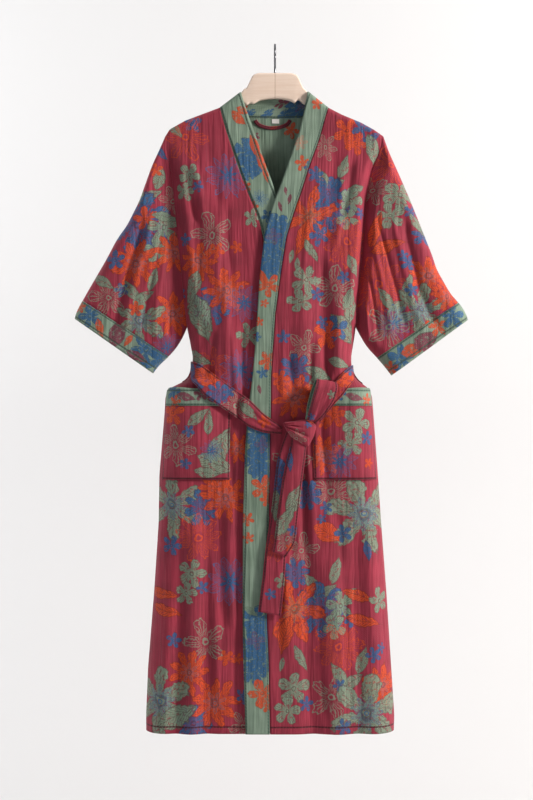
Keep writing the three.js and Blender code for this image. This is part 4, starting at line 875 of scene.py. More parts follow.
def ringCloth(grid):  # cloth places of a sleeve: its front half, then its back half
    half = grid.shape[1] // 2
    closed = np.concatenate([grid, grid[:, :1]], 1)
    parts = []
    for first, shift in ((0, 0), (half, backShift)):
        part = closed[:, first:first + half + 1]
        across = arcLength(part, 1)
        flat = part[..., [0, 2]] * (1, -1)
        way = flat[:, -1] - flat[:, 0]
        way /= np.linalg.norm(way, axis=1, keepdims=True)
        centre = flat[:, half // 2]
        fromCentre = across - across[:, half // 2:half // 2 + 1]
        parts.append(centre[:, None] + fromCentre[..., None] * way[:, None] + (shift, 0))
    left, right = (np.stack([p[:-1, :-1], p[:-1, 1:], p[1:, 1:], p[1:, :-1]], 2) for p in parts)
    return np.concatenate([left, right], 1).reshape(-1, 4, 2)


def addAttribute(mesh, name, domain, kind, values):
    layer = mesh.attributes.new(name, kind, domain)
    key = "color" if kind == "FLOAT_COLOR" else "vector"
    layer.data.foreach_set(key, np.asarray(values, np.float32).ravel())


kindCodes = {"flower": 1, "drawnFlower": 2, "leaf": 3}


def weaveMotifs(mesh, corners, motifs):  # gives every face the motifs that reach it, one a layer
    faces = len(corners)
    centres = corners.mean(axis=1)
    place = np.zeros((motifLayers, faces, 4, 3))
    shape = np.zeros((motifLayers, faces, 3))
    ink = np.zeros((motifLayers, faces, 4))
    level = np.zeros(faces, int)
    for kind, u, v, size, turn, colour, count, roundness in motifs:
        near = np.nonzero(np.hypot(centres[:, 0] - u, centres[:, 1] - v) < size * 1.08 + 4)[0]
        full = near[level[near] == motifLayers]
        for layers in (place, shape, ink):  # a face that is full loses its lowest motif
            layers[:-1, full] = layers[1:, full]
        level[full] -= 1
        k = level[near]
        c, s = math.cos(turn), math.sin(turn)
        x, y = np.moveaxis((corners[near] - (u, v)) / size, 2, 0)
        seed = np.full(x.shape, (u * 0.137 + v * 0.071) % 1)
        place[k, near] = np.stack([x * c + y * s, y * c - x * s, seed], 2)
        shape[k, near] = (count, roundness, kindCodes[kind])
        ink[k, near] = linearColour(motifInks[colour])
        level[near] = k + 1
    for k in range(motifLayers):
        addAttribute(mesh, f"motifPlace{k}", "CORNER", "FLOAT_VECTOR", place[k])
        addAttribute(mesh, f"motifShape{k}", "FACE", "FLOAT_VECTOR", shape[k])
        addAttribute(mesh, f"motifInk{k}", "FACE", "FLOAT_COLOR", ink[k])


def moved(motifs, across=0, down=0):
    return [(m[0], m[1] + across, m[2] + down, *m[3:]) for m in motifs]


def clothShell(name, grid, wall, materials, corners, motifs, innerMotifs=(), stitchAndShadeLines=None, outward=(0, -1, 0),
               closedRing=False):
    rows, columns = grid.shape[:2]
    normal = outwardNormals(grid, closedRing, outward)
    points = np.concatenate([(grid + side * normal * wall / 2).reshape(-1, 3) for side in (1, -1)])
    index = np.arange(rows * columns).reshape(rows, columns)
    if closedRing:
        index = np.concatenate([index, index[:, :1]], 1)
    quads = quadCorners(index[..., None])[..., 0]
    i, j = rows // 2, columns // 2
    turned = np.cross(grid[i, j + 1] - grid[i, j], grid[i + 1, j] - grid[i, j])
    flipped = np.dot(turned, normal[i, j]) < 0
    if flipped:
        quads, corners = quads[:, ::-1], corners[:, ::-1]
    rim, rimCorners = [], []
    ends = (index[0], index[-1]) if closedRing else (index[0], index[-1], index[:, 0], index[:, -1])
    place = np.zeros((rows * columns, 2))
    place[quads.ravel()] = corners.reshape(-1, 2)
    for line, backward in zip(ends, (True, False, False, True)):
        line = line[::-1] if backward != flipped else line
        rim.append(np.stack([line[:-1], line[1:], line[1:] + rows * columns, line[:-1] + rows * columns], 1))
        rimCorners.append(place[rim[-1] % (rows * columns)])
    inner = corners[:, ::-1] + (0, innerShift)
    faces = np.concatenate([quads, quads[:, ::-1] + rows * columns] + rim)
    corners = np.concatenate([corners, inner] + rimCorners)
    mesh = bpy.data.meshes.new(name)
    mesh.from_pydata((points / 1000).tolist(), [], faces.tolist())
    for material in materials:
        mesh.materials.append(material)
    slots = np.zeros(len(faces), int)
    slots[len(quads):2 * len(quads)] = len(materials) - 1
    mesh.polygons.foreach_set("material_index", slots)
    mesh.polygons.foreach_set("use_smooth", np.arange(len(faces)) < 2 * len(quads))
    weaveMotifs(mesh, corners, list(motifs) + moved(innerMotifs, down=innerShift))
    flat = np.concatenate([corners / 1000, np.zeros((len(corners), 4, 1))], 2)
    addAttribute(mesh, "cloth", "CORNER", "FLOAT_VECTOR", flat)
    stitchAndShadeLines = np.full((rows, columns, 3), noStitch) if stitchAndShadeLines is None else stitchAndShadeLines
    addAttribute(mesh, "stitchAndShadeLines", "POINT", "FLOAT_VECTOR", np.concatenate([stitchAndShadeLines.reshape(-1, 3)] * 2))
    mesh.update()
    pieces[name] = addObject(name, mesh)


def stitchRows(grid, first, second):  # two stitch lines, each drawn with painted seam shade along it, by their distance from here, and the way along
    return np.stack(np.broadcast_arrays(first, arcLength(grid, 0), second), 2)


def edgeStitch(grid):  # 3 mm in from both edges
    across = arcLength(grid, 1)
    return stitchRows(grid, across - 3, across[:, -1:] - across - 3)


def hemStitch(grid):  # 13 mm up from the hem
    up = -grid[..., 2] + robe["hemZ"] + 13
    return np.stack([up, grid[..., 0], np.full_like(up, noStitch)], 2)


# Motifs: kind, across, down, size, turn, colour, petals or veins, roundness; lengths in mm
def blossom(u, v, size=24):  # two five-petalled blossoms and a blue bud
    return [("flower", u, v - size * 0.5, size, 0.3, "sage", 5, 3.0),
            ("flower", u - size * 0.4, v + size * 0.85, size * 0.85, 1.1, "sage", 5, 3.0),
            ("flower", u + size * 0.75, v + size * 0.45, size * 0.5, 0.7, "blue", 5, 2.0)]


def sprig(u, v, size=26, colour="sage", turn=0.0):  # three leaves from one stalk
    spots = ((0.0, 0.9, -0.5), (-0.9, 0.35, -2.2), (0.75, -0.55, -1.3))
    c, s = math.cos(turn), math.sin(turn)
    return [("leaf", u + size * (a * c - b * s), v + size * (a * s + b * c), size, t + turn, colour, 4, 0.4)
            for a, b, t in spots]


def bigLily(u, v, size=72, colour="sage"):  # broad veined petals, blue stamens over them
    return [("flower", u, v, size, 0.25, colour, 6, 1.7),
            ("drawnFlower", u, v, size * 0.42, 0.6, "blue", 9, 1.3)]


def dahlia(u, v, size=46):
    return [("flower", u, v, size * 0.96, 0.2, "orange", 9, 1.5),
            ("drawnFlower", u, v, size * 0.4, 0.5, "teal", 7, 1.6)]


def cornflower(u, v, size=42):
    return [("drawnFlower", u, v, size, 0.1, "blue", 11, 1.2),
            ("flower", u, v, size * 0.45, 0.4, "blue", 8, 1.2)]


def floret(u, v, size=14, colour="blue"):
    return [("flower", u, v, size, u * 0.1, colour, 5, 2.2)]


def field(u, v, size=30, colour="blue"):  # a broad patch of one colour with a ragged edge
    return [("flower", u, v, size, u * 0.3, colour, 5, 7.0)]


def drawn(u, v, size, colour, petals=6):
    return [("drawnFlower", u, v, size, v * 0.01, colour, petals, 1.9)]


def peony(u, v, size=50, colour="blue"):
    return [("flower", u, v, size, v * 0.02, colour, 8, 3.2),
            ("drawnFlower", u, v, size * 0.5, 0.3, "rose", 7, 2.4)]


def lily(u, v, size=64):
    return [("flower", u, v, size, 0.5, "orange", 6, 1.35),
            ("drawnFlower", u, v, size * 0.4, 0.2, "darkSage", 7, 1.1)]


def leaf(u, v, size, turn, colour="sage", width=0.37):
    return [("leaf", u, v, size, turn, colour, 4, width)]


leftFrontMotifs = (
    leaf(-196, 160, 26, 0.8) + floret(-158, 149, 20) + drawn(-173, 178, 50, "orange") + blossom(-166, 262)
    + cornflower(-86, 252, 46) + floret(-36, 332, 20, "sage") + drawn(-120, 365, 44, "sage", 5)
    + floret(-175, 375) + peony(-122, 500, 40) + dahlia(-148, 416, 44) + dahlia(-92, 473, 50)
    + floret(-112, 396, 17, "orange") + floret(-72, 389, 13, "orange")
    + leaf(-144, 520, 50, 1.2, "sage", 0.47) + leaf(-160, 468, 40, 1.9) + cornflower(-58, 495, 36)
    + floret(-194, 476) + floret(-50, 557, 26, "sage") + cornflower(-66, 622, 40) + floret(-34, 640, 16)
    + drawn(-120, 610, 34, "orange") + leaf(-150, 600, 30, 0.4) + dahlia(-71, 772, 32)
    + bigLily(-196, 880, 66) + peony(-138, 884, 36) + dahlia(-112, 842, 36) + dahlia(-94, 866, 50)
    + drawn(-146, 940, 46, "orange", 9) + floret(-200, 955, 20) + blossom(-160, 1022, 28)
    + cornflower(-84, 1023, 48) + leaf(-222, 1046, 34, 0.1, "orange", 0.34)
    + leaf(-214, 1079, 34, 0.25, "orange", 0.3) + floret(-198, 1135, 16) + drawn(-135, 1138, 46, "sage", 5)
    + floret(-92, 1167, 16, "orange") + floret(-70, 1170, 12, "orange") + peony(-156, 1290, 38)
    + dahlia(-166, 1194, 48) + dahlia(-114, 1252, 54) + bigLily(-226, 1250, 74)
    + leaf(-190, 1278, 44, -0.5, "sage", 0.5) + floret(-60, 1240, 16) + floret(-30, 905, 22, "sage")
    + cornflower(-40, 1010, 24) + drawn(-60, 1296, 30, "sage", 5))
rightFrontMotifs = (
    floret(137, 166, 30, "orange") + floret(168, 158, 24) + leaf(186, 182, 26, -0.6, "blue")
    + floret(156, 190, 24, "orange") + leaf(194, 204, 38, 1.2) + drawn(91, 197, 28, "sage")
    + sprig(112, 250, 25) + peony(110, 312, 52) + peony(100, 286, 34) + leaf(150, 286, 28, 2.6)
    + blossom(149, 312, 26) + floret(70, 250, 18) + lily(60, 332, 66) + leaf(48, 372, 38, 1.9, "orange")
    + drawn(138, 378, 50, "orange", 10) + floret(82, 366, 22) + leaf(66, 396, 26, 1.0, "sage", 0.3)
    + leaf(26, 408, 14, 1.8) + leaf(38, 422, 14, 1.6) + blossom(57, 466, 30)
    + drawn(115, 468, 44, "sage", 5) + floret(132, 447, 13) + leaf(150, 425, 26, 1.1)
    + leaf(146, 502, 36, 1.5, "sage", 0.47) + leaf(136, 545, 38, 0.8, "sage", 0.5) + floret(120, 546, 28)
    + floret(102, 556, 30, "orange") + floret(91, 531, 13) + drawn(55, 580, 34, "sage", 5)
    + peony(38, 624, 34) + leaf(84, 630, 30, 0.4) + leaf(78, 642, 26, 2.4) + dahlia(36, 674, 48)
    + floret(8, 640, 18, "orange") + floret(14, 560, 14) + leaf(130, 610, 26, 0.3)
    + drawn(108, 852, 40, "sage") + bigLily(170, 895, 80) + leaf(100, 932, 30, 0.5, "orange", 0.6)
    + floret(130, 932, 18) + leaf(176, 966, 20, 1.4, "blue") + floret(97, 884, 13) + floret(88, 905, 10)
    + drawn(49, 964, 34, "sage", 5) + peony(34, 1008, 30) + sprig(94, 1018, 27) + peony(86, 1078, 54)
    + leaf(140, 1052, 24, 2.4) + blossom(124, 1084, 29) + lily(34, 1076, 68)
    + leaf(16, 1124, 40, 1.8, "orange") + leaf(162, 1052, 34, 0.3, "orange", 0.32)
    + leaf(170, 1098, 36, 0.2, "orange", 0.34) + floret(205, 1060, 26, "sage")
    + drawn(121, 1146, 50, "orange", 10) + leaf(46, 1168, 28, 1.1, "sage", 0.3) + leaf(9, 1180, 14, 1.8)
    + sprig(146, 1188, 28) + floret(190, 1162, 17) + floret(206, 1150, 12) + blossom(32, 1240, 32)
    + drawn(108, 1242, 46, "sage", 5) + floret(121, 1218, 13) + dahlia(208, 1222, 46)
    + bigLily(176, 1272, 80) + floret(130, 1298, 18) + drawn(30, 800, 40, "sage", 5) + peony(60, 860, 30)
    + floret(20, 900, 20, "orange"))
leftSleeveMotifs = (
    leaf(-216, 206, 18, 0.9, "blue") + sprig(-240, 268, 25) + peony(-260, 340, 64)
    + floret(-247, 332, 24, "orange") + blossom(-214, 366, 32) + leaf(-212, 330, 26, 0.2)
    + dahlia(-192, 398, 44) + dahlia(-266, 418, 52) + sprig(-252, 462, 25) + floret(-295, 468, 15)
    + drawn(-322, 484, 40, "sage", 5) + dahlia(-194, 516, 48) + bigLily(-258, 530, 54)
    + floret(-266, 505, 16, "orange") + floret(-306, 410, 20) + leaf(-330, 452, 26, 0.6)
    + cornflower(-205, 580, 30) + drawn(-196, 300, 30, "sage") + floret(-226, 240, 14, "orange"))
rightSleeveMotifs = (
    drawn(214, 228, 40, "orange") + blossom(234, 302, 30) + leaf(194, 356, 36, -1.2, "orange", 0.32)
    + leaf(216, 386, 38, -0.3, "orange", 0.32) + floret(257, 418, 18) + floret(246, 404, 12)
    + drawn(194, 460, 60, "orange", 10) + sprig(234, 478, 27) + dahlia(294, 440, 42)
    + bigLily(280, 508, 56) + cornflower(228, 532, 36) + drawn(214, 540, 44, "sage", 5)
    + floret(304, 546, 24, "orange") + floret(262, 470, 14) + floret(280, 360, 22)
    + leaf(270, 340, 26, 0.9) + dahlia(330, 480, 34) + drawn(190, 280, 30, "sage"))
backMotifs = [(m[0], m[1] + shift, (m[2] + 190 - 110) % 1210 + 110, *m[3:])
              for shift, motifs in ((10, leftFrontMotifs), (-10, rightFrontMotifs)) for m in motifs]
sleeveBackMotifs = [(m[0], abs(m[1]) * side + backShift, m[2] + 20, *m[3:])
                    for side, motifs in ((-1, rightSleeveMotifs), (1, leftSleeveMotifs)) for m in motifs]


def reverseMotifs(low, high, across, seed):  # the reverse side: blue fields, orange, small rose figures
    found = []
    for n, v in enumerate(np.arange(low, high, 62.0)):
        u = across * (0.5 + 0.36 * math.sin(n * 2.3 + seed))
        found += floret(u, v, 40, "blue") if (n + seed) % 4 < 2 else []
        found += floret(across - u, v + 20, 17, "orange") + floret(u, v + 8, 9, "rose")
    return found


leftBandMotifs = (
    leaf(-70, 140, 20, 0.7, "orange", 0.5) + leaf(-60, 126, 14, 0.4, "orange", 0.5) + field(-54, 204, 28)
    + field(-44, 228, 27) + field(-52, 244, 20) + leaf(-36, 196, 26, 1.2, "orange")
    + leaf(-24, 226, 24, 1.2, "orange") + leaf(-16, 250, 16, 1.3, "orange") + cornflower(-30, 296, 18)
    + floret(-44, 312, 12, "orange") + floret(-58, 272, 12, "orange") + floret(-14, 330, 14)
    + field(14, 380, 28) + field(20, 420, 30) + floret(16, 520, 22, "orange")
    + leaf(24, 600, 18, 1.3, "rose", 0.4) + field(24, 760, 30) + field(26, 820, 30)
    + floret(30, 940, 22, "orange") + field(24, 1060, 30) + field(28, 1200, 28))
rightBandMotifs = (
    floret(80, 112, 14, "orange") + drawn(46, 188, 16, "orange") + floret(53, 229, 17, "orange")
    + floret(69, 236, 14) + leaf(28, 298, 11, 1.8, "rose") + leaf(10, 312, 11, 1.2, "rose")
    + leaf(20, 282, 9, 1.4, "rose") + field(-6, 352, 30) + field(14, 352, 24) + field(-2, 380, 30)
    + field(-12, 410, 30) + field(-20, 432, 24) + field(-2, 430, 20) + drawn(-2, 368, 16, "rose", 4)
    + floret(-12, 462, 24, "orange") + leaf(-24, 448, 20, 1.2, "orange") + floret(-30, 531, 10, "orange")
    + floret(-14, 606, 19, "orange") + floret(-24, 628, 12) + leaf(-30, 660, 10, 1.4, "rose")
    + floret(-36, 560, 10) + floret(-20, 496, 9, "orange") + field(-32, 744, 28) + field(-20, 770, 30)
    + field(-36, 796, 28) + field(-24, 818, 20) + drawn(-24, 764, 16, "rose", 4)
    + floret(-22, 846, 26, "orange") + floret(-16, 868, 14, "orange") + floret(-52, 905, 14, "orange")
    + floret(-50, 940, 12, "orange") + field(-36, 1096, 28) + field(-26, 1126, 30) + field(-44, 1146, 28)
    + field(-28, 1168, 30) + field(-40, 1194, 26) + drawn(-36, 1134, 18, "rose", 4)
    + floret(-24, 1234, 28, "orange") + floret(-14, 1256, 14, "orange") + leaf(-46, 1080, 16, 0.6, "sage"))
neckBandMotifs = (
    field(40, 128, 22) + field(18, 150, 24) + field(34, 172, 24) + field(8, 60, 11) + field(8, 96, 11)
    + field(8, 130, 12) + floret(30, 106, 13, "rose") + floret(14, 30, 20, "orange")
    + floret(24, 176, 12, "orange") + drawn(24, 150, 12, "rose", 4))
leftCuffMotifs = (
    floret(-352, 520, 24) + leaf(-334, 542, 20, 1.3, "orange") + leaf(-302, 556, 28, 1.9, "rose", 0.6)
    + leaf(-280, 566, 15, 2.2, "orange") + floret(-246, 582, 34) + floret(-222, 606, 28)
    + leaf(-264, 596, 24, 0.5, "rose") + floret(-374, 500, 14, "orange"))
rightCuffMotifs = (
    floret(240, 600, 28) + leaf(262, 584, 24, -0.3, "orange", 0.5) + leaf(288, 566, 28, -0.6, "rose", 0.6)
    + floret(310, 540, 20, "orange") + floret(338, 520, 26) + floret(220, 620, 16, "orange"))
leftPocketMotifs = (
    leaf(-146, 712, 26, -0.7) + leaf(-126, 722, 24, -1.5) + drawn(-188, 764, 42, "sage")
    + floret(-164, 738, 13) + leaf(-104, 768, 42, -1.1, "sage", 0.47)
    + leaf(-112, 800, 38, 0.4, "sage", 0.5) + leaf(-128, 816, 26, 0.1) + floret(-196, 704, 26, "orange")
    + cornflower(-120, 776, 22) + floret(-170, 800, 12))
rightPocketMotifs = (
    floret(112, 708, 26, "orange") + floret(92, 722, 14, "orange") + blossom(154, 738, 30)
    + dahlia(90, 784, 42) + cornflower(122, 796, 36) + floret(180, 800, 12, "orange"))
leftPocketBandMotifs = (
    floret(-196, 664, 18) + floret(-190, 682, 13, "orange") + leaf(-168, 674, 20, 0.3, "rose")
    + floret(-140, 668, 14, "rose") + leaf(-112, 680, 16, 0.2, "rose"))
rightPocketBandMotifs = (
    leaf(150, 674, 18, 0.2, "rose") + floret(178, 680, 14, "orange") + floret(122, 668, 14)
    + leaf(92, 676, 18, 0.5, "orange"))
beltLeftMotifs = (
    peony(-150, 634, 30) + leaf(-126, 640, 34, 0.7, "orange", 0.5) + peony(-108, 668, 24)
    + drawn(-74, 692, 30, "sage", 5) + leaf(-50, 700, 24, 0.8) + floret(-88, 664, 14)
    + floret(-20, 720, 14, "orange"))
beltRightMotifs = (
    field(132, 640, 18, "orange") + drawn(112, 664, 26, "orange") + leaf(96, 696, 22, 1.2, "orange")
    + floret(142, 622, 12))
rearTailMotifs = (
    leaf(2, 822, 44, 1.4, "blue", 0.5) + leaf(0, 880, 30, 1.6, "sage") + floret(14, 1022, 17, "sage")
    + floret(-8, 1046, 12) + drawn(0, 960, 26, "orange"))
frontTailMotifs = (
    leaf(26, 790, 26, 1.5, "blue", 0.3) + leaf(36, 868, 34, -1.2) + leaf(18, 908, 36, -1.0)
    + drawn(22, 940, 28, "sage", 5) + floret(28, 958, 9, "orange") + floret(34, 926, 12))
loopMotifs = floret(34, 64, 9, "sage") + floret(8, 10, 8, "blue")
beltBackMotifs = (
    peony(20, 60, 30) + leaf(24, 130, 34, 0.7, "orange", 0.5) + drawn(14, 190, 30, "sage", 5)
    + floret(30, 250, 18) + dahlia(20, 310, 28) + leaf(16, 380, 30, 1.2))
insideMotifs = reverseMotifs(140, 1300, 160, 1)
insideMotifs += moved(reverseMotifs(140, 1300, 160, 2), -170, 24)

outside = [roseJacquard, sageReverse]
turnedOut = [sageReverse, roseJacquard]
for name, grid, motifs, outward in (
        ("leftFrontPanel", frontGrid(-1, leftBandRows, "under"), leftFrontMotifs, (0, -1, 0)),
        ("rightFrontPanel", frontGrid(1, rightBandRows, "over"), rightFrontMotifs, (0, -1, 0)),
        ("backPanel", backGrid(), backMotifs, (0, 1, 0))):
    clothShell(name, grid, robe["panelWall"], outside, uprightCloth(grid), motifs, insideMotifs,
               hemStitch(grid), outward)
for name, rows, layer, motifs in (("leftFrontBand", leftBandRows, "under", leftBandMotifs),
                                  ("rightFrontBand", rightBandRows, "over", rightBandMotifs)):
    grid = bandGrid(rows, layer)
    across = arcLength(grid, 1)
    stitchAndShadeLines = stitchRows(grid, across - 2.5, across - 44)
    clothShell(name, grid, robe["bandWall"], turnedOut[:1], uprightCloth(grid), motifs, (), stitchAndShadeLines)
grid = neckBandGrid()
across = arcLength(grid.swapaxes(0, 1), 0).swapaxes(0, 1)
stitchAndShadeLines = stitchRows(grid, across - 2.5, across * 0 + noStitch)
clothShell("backNeckBand", grid, robe["bandWall"], turnedOut[:1], stripCloth(grid), neckBandMotifs,
           neckBandMotifs, stitchAndShadeLines, (0, 1, 0))
print("3/7 body and collar band made")

for side, motifs, cuffMotifs in (("left", leftSleeveMotifs, leftCuffMotifs),
                                 ("right", rightSleeveMotifs, rightCuffMotifs)):
    sleeve = sleeves[side]
    seamShare = 1 - cuffs["outerWidth"] / cornerLine(sleeve["outer"], 0)[2]
    grid = sleeveGrid(sleeve, np.linspace(0, seamShare - robe["cuffSeamShare"], 74))
    clothShell(side + "Sleeve", grid, robe["panelWall"], outside, ringCloth(grid), motifs + sleeveBackMotifs,
               insideMotifs, closedRing=True)
    grid = sleeveGrid(sleeve, np.linspace(seamShare + robe["cuffSeamShare"], 1, 12))
    along = arcLength(grid, 0)
    stitchAndShadeLines = np.stack(np.broadcast_arrays(along - 2.5, arcLength(grid, 1), along - 33), 2)
    clothShell(side + "Cuff", grid, robe["cuffWall"], turnedOut, ringCloth(grid),
               cuffMotifs + moved(cuffMotifs, backShift), (), stitchAndShadeLines, closedRing=True)

topZ, seamZ, bottomZ = pocketForm["topZ"], pocketForm["seamZ"], pocketForm["bottomZ"]
for side, motifs, bandMotifs in (("left", leftPocketMotifs, leftPocketBandMotifs),
                                 ("right", rightPocketMotifs, rightPocketBandMotifs)):
    grid = pocketGrid(pockets[side], np.linspace(seamZ - robe["seamGap"], bottomZ, 40), robe["pocketWall"])
    across = arcLength(grid, 1)
    edge = np.minimum(across, across[:, -1:] - across)
    stitchAndShadeLines = np.stack([edge - 3, arcLength(grid, 0), grid[..., 2] - bottomZ - 3], 2)
    clothShell(side + "Pocket", grid, robe["pocketWall"], outside, uprightCloth(grid), motifs, (), stitchAndShadeLines)
    wall = robe["pocketBandWall"]
    grid = pocketGrid(pockets[side], np.linspace(topZ, seamZ + robe["seamGap"], 11), wall)
    stitchAndShadeLines = np.stack([grid[..., 2] - seamZ - 3, arcLength(grid, 1), topZ - grid[..., 2] - 3], 2)
    clothShell(side + "PocketBand", grid, wall, turnedOut[:1], uprightCloth(grid), bandMotifs, (), stitchAndShadeLines)
print("4/7 sleeves, cuffs and pockets made")

beltGathers = {"left": [(2.2, 0.25, 0.09), (2.6, 0.55, 0.1), (1.8, 0.82, 0.08)],
               "right": [(2.4, 0.3, 0.1), (2.0, 0.68, 0.1)]}
for side, rows, motifs in (("left", beltLeftRows, beltLeftMotifs), ("right", beltRightRows, beltRightMotifs)):
    grid = beltFrontGrid(rows, beltGathers[side])
    clothShell("belt" + side.capitalize(), grid, robe["beltWall"], outside[:1], slantedCloth(grid), motifs,
               (), edgeStitch(grid))
for name, grid, clothPlaces, motifs, outward in (
        ("beltBack", beltBackGrid(), stripCloth, beltBackMotifs, (0, 1, 0)),
        ("beltRearTail", tailGrid(tails["rear"], 3.4, 1.2), uprightCloth, rearTailMotifs, (0, -1, 0)),
        ("beltFrontTail", tailGrid(tails["front"], 9.0, 2.0), uprightCloth, frontTailMotifs, (0, -1, 0))):
    clothShell(name, grid, robe["beltWall"], outside[:1], clothPlaces(grid), motifs, (), edgeStitch(grid),
               outward)
grid = loopGrid()
clothShell("beltLoop", grid, robe["beltWall"], turnedOut, stripCloth(grid),
           leaf(20, 200, 22, 1.0, "blue") + floret(30, 120, 12, "orange"), loopMotifs, edgeStitch(grid))

# The knot: the belt wrapped once over itself, a wedge of cloth with creases that spread from its left end
knot = {
    "outline": [
        (14, -722), (34, -719.5), (53, -716.2), (69, -719.5), (78.5, -728), (74, -747), (62, -769.5),
        (45, -761), (31, -751), (20, -735)],
    "centre": (50, -739), "depth": 19.5, "pinch": (10, -725),
    "creases": [
        (3.6, -9, 3.4, 42), (-1.6, -15, 4, 60), (2.6, -25, 3, 70), (-1.6, -31, 4, 64), (2.2, 3, 3, 30),
        (-1.4, 8, 4, 60)],
}


def knotGrid():
    outline = np.array(knot["outline"], float)
    centre = np.array(knot["centre"], float)
    count = 144
    at = np.arange(count) / count * len(outline)
    keys, ring = np.arange(len(outline) + 1), np.concatenate([outline, outline[:1]])
    soft = sum(np.stack([np.interp((at + d) % len(outline), keys, column) for column in ring.T], 1)
               for d in (-0.24, -0.12, 0, 0.12, 0.24)) / 5
    grid = []
    for angle in np.linspace(-0.35, math.pi / 2 - 0.02, 44):
        flat = centre + (soft - centre) * math.cos(angle) ** 0.5
        depth = 1.5 + (knot["depth"] - 1.5) * (math.sin(angle) + 0.343) / 1.343
        grid.append(np.stack([flat[:, 0], np.full(count, knotY - depth), flat[:, 1]], 1))
    grid = np.array(grid)
    x, z = grid[..., 0] - knot["pinch"][0], grid[..., 2] - knot["pinch"][1]
    way, reach = np.degrees(np.arctan2(z, x)), np.hypot(x, z)
    lift = smooth(2, 9, knotY - grid[..., 1])
    for depth, place, width, end in knot["creases"]:
        fade = smooth(2, 12, reach) * (1 - smooth(end * 0.6, end, reach))
        grid[..., 1] += depth * np.exp(-((way - place) / width) ** 2) * lift * fade
    return grid


def smoothSolid(name, rings, material, motifs=()):  # closed rings of points, capped at both ends
    rows, count = rings.shape[:2]
    index = np.arange(rows * count).reshape(rows, count)
    index = np.concatenate([index, index[:, :1]], 1)
    faces = quadCorners(index[..., None])[..., 0].tolist()
    faces += [index[0, :-1][::-1].tolist(), index[-1, :-1].tolist()]
    mesh = bpy.data.meshes.new(name)
    mesh.from_pydata((rings.reshape(-1, 3) / 1000).tolist(), [], faces)
    mesh.materials.append(material)
    mesh.polygons.foreach_set("use_smooth", [True] * (len(faces) - 2) + [False, False])
    corner = np.array([loop.vertex_index for loop in mesh.loops])
    flat = rings.reshape(-1, 3)[corner] / 1000
    cloth = np.stack([flat[:, 0], -flat[:, 2], flat[:, 0] * 0], 1)
    addAttribute(mesh, "cloth", "CORNER", "FLOAT_VECTOR", cloth)
    addAttribute(mesh, "stitchAndShadeLines", "POINT", "FLOAT_VECTOR", np.full((rows * count, 3), noStitch))
    for layer, (kind, u, v, size, turn, colour, petals, roundness) in enumerate(motifs):
        x, y = (flat[:, 0] * 1000 - u) / size, (-flat[:, 2] * 1000 - v) / size
        c, s = math.cos(turn), math.sin(turn)
        place = np.stack([x * c + y * s, y * c - x * s, x * 0 + 0.3], 1)
        addAttribute(mesh, f"motifPlace{layer}", "CORNER", "FLOAT_VECTOR", place)
        figure, ink = (petals, roundness, kindCodes[kind]), linearColour(motifInks[colour])
        addAttribute(mesh, f"motifShape{layer}", "FACE", "FLOAT_VECTOR", [figure] * len(faces))
        addAttribute(mesh, f"motifInk{layer}", "FACE", "FLOAT_COLOR", [ink] * len(faces))
    mesh.validate()
    mesh.update()
    bm = bmesh.new()
    bm.from_mesh(mesh)
    bmesh.ops.recalc_face_normals(bm, faces=bm.faces)
    bm.to_mesh(mesh)
    bm.free()
    pieces[name] = addObject(name, mesh)


knotMotifs = (
    floret(62, 726, 8, "blue") + drawn(40, 752, 20, "sage", 7) + leaf(68, 718, 12, 0.5, "orange", 0.5))
smoothSolid("beltKnot", knotGrid(), roseJacquard, knotMotifs)
print("5/7 belt made")

# The hanger: a flat bar with rounded edges, cut from board, arched under the neck
hanger = {
    "thickness": 13,
    "rows": np.array([
        (-200, 20), (-190, 23), (-171.6, 25), (-138, 27), (-105.6, 29), (-84, 29), (-66, 28), (-59, 29),
        (-50, 40), (-42, 57), (-28, 53), (-14, 50.5), (0, 49.5), (14, 50.5), (26, 53), (38, 57), (47, 40),
        (57, 29), (63, 28), (82, 29), (101.8, 29), (132, 27), (164.7, 25), (184, 23), (197, 20)], float),
}


def hangerTop(x):
    reach = np.abs(x)
    neckTop = -52 - 3 * smooth(30, 42, reach) - 28 * smooth(40, 58, reach)
    return np.where(reach < 58, neckTop, shoulderTop(x) - robe["bandWall"] / 2 - 1.1)


def hangerRings():
    x = np.concatenate([[-200, -199.2, -197.5, -195], np.linspace(-190, 188, 190), [192, 194.5, 196.2, 197]])
    drop = softInterp(x, hanger["rows"][:, 0], hanger["rows"][:, 1], 2.5)
    top = softened(hangerTop, x, 1.5)
    ends = np.clip(np.minimum(x + 200, 197 - x) / 6, 0, 1)
    shrink = 0.55 + 0.45 * np.sqrt(1 - (1 - ends) ** 2)
    angle = 2 * np.pi * (np.arange(48) + 0.5) / 48
    half = hanger["thickness"] / 2
    sy, sz = np.sin(angle), np.cos(angle)
    roundY, roundZ = (np.sign(v) * np.abs(v) ** 0.72 for v in (sy, sz))
    straight = drop / 2 - half
    y = roundY * half * shrink[:, None]
    z = (top - drop / 2)[:, None] + (roundZ * half + np.sign(sz) * straight[:, None]) * shrink[:, None]
    return np.stack([np.broadcast_to(x[:, None], y.shape), y, z], 2)


smoothSolid("beechHanger", hangerRings(), beech)

hook = {"innerRadius": 16, "wire": 4}


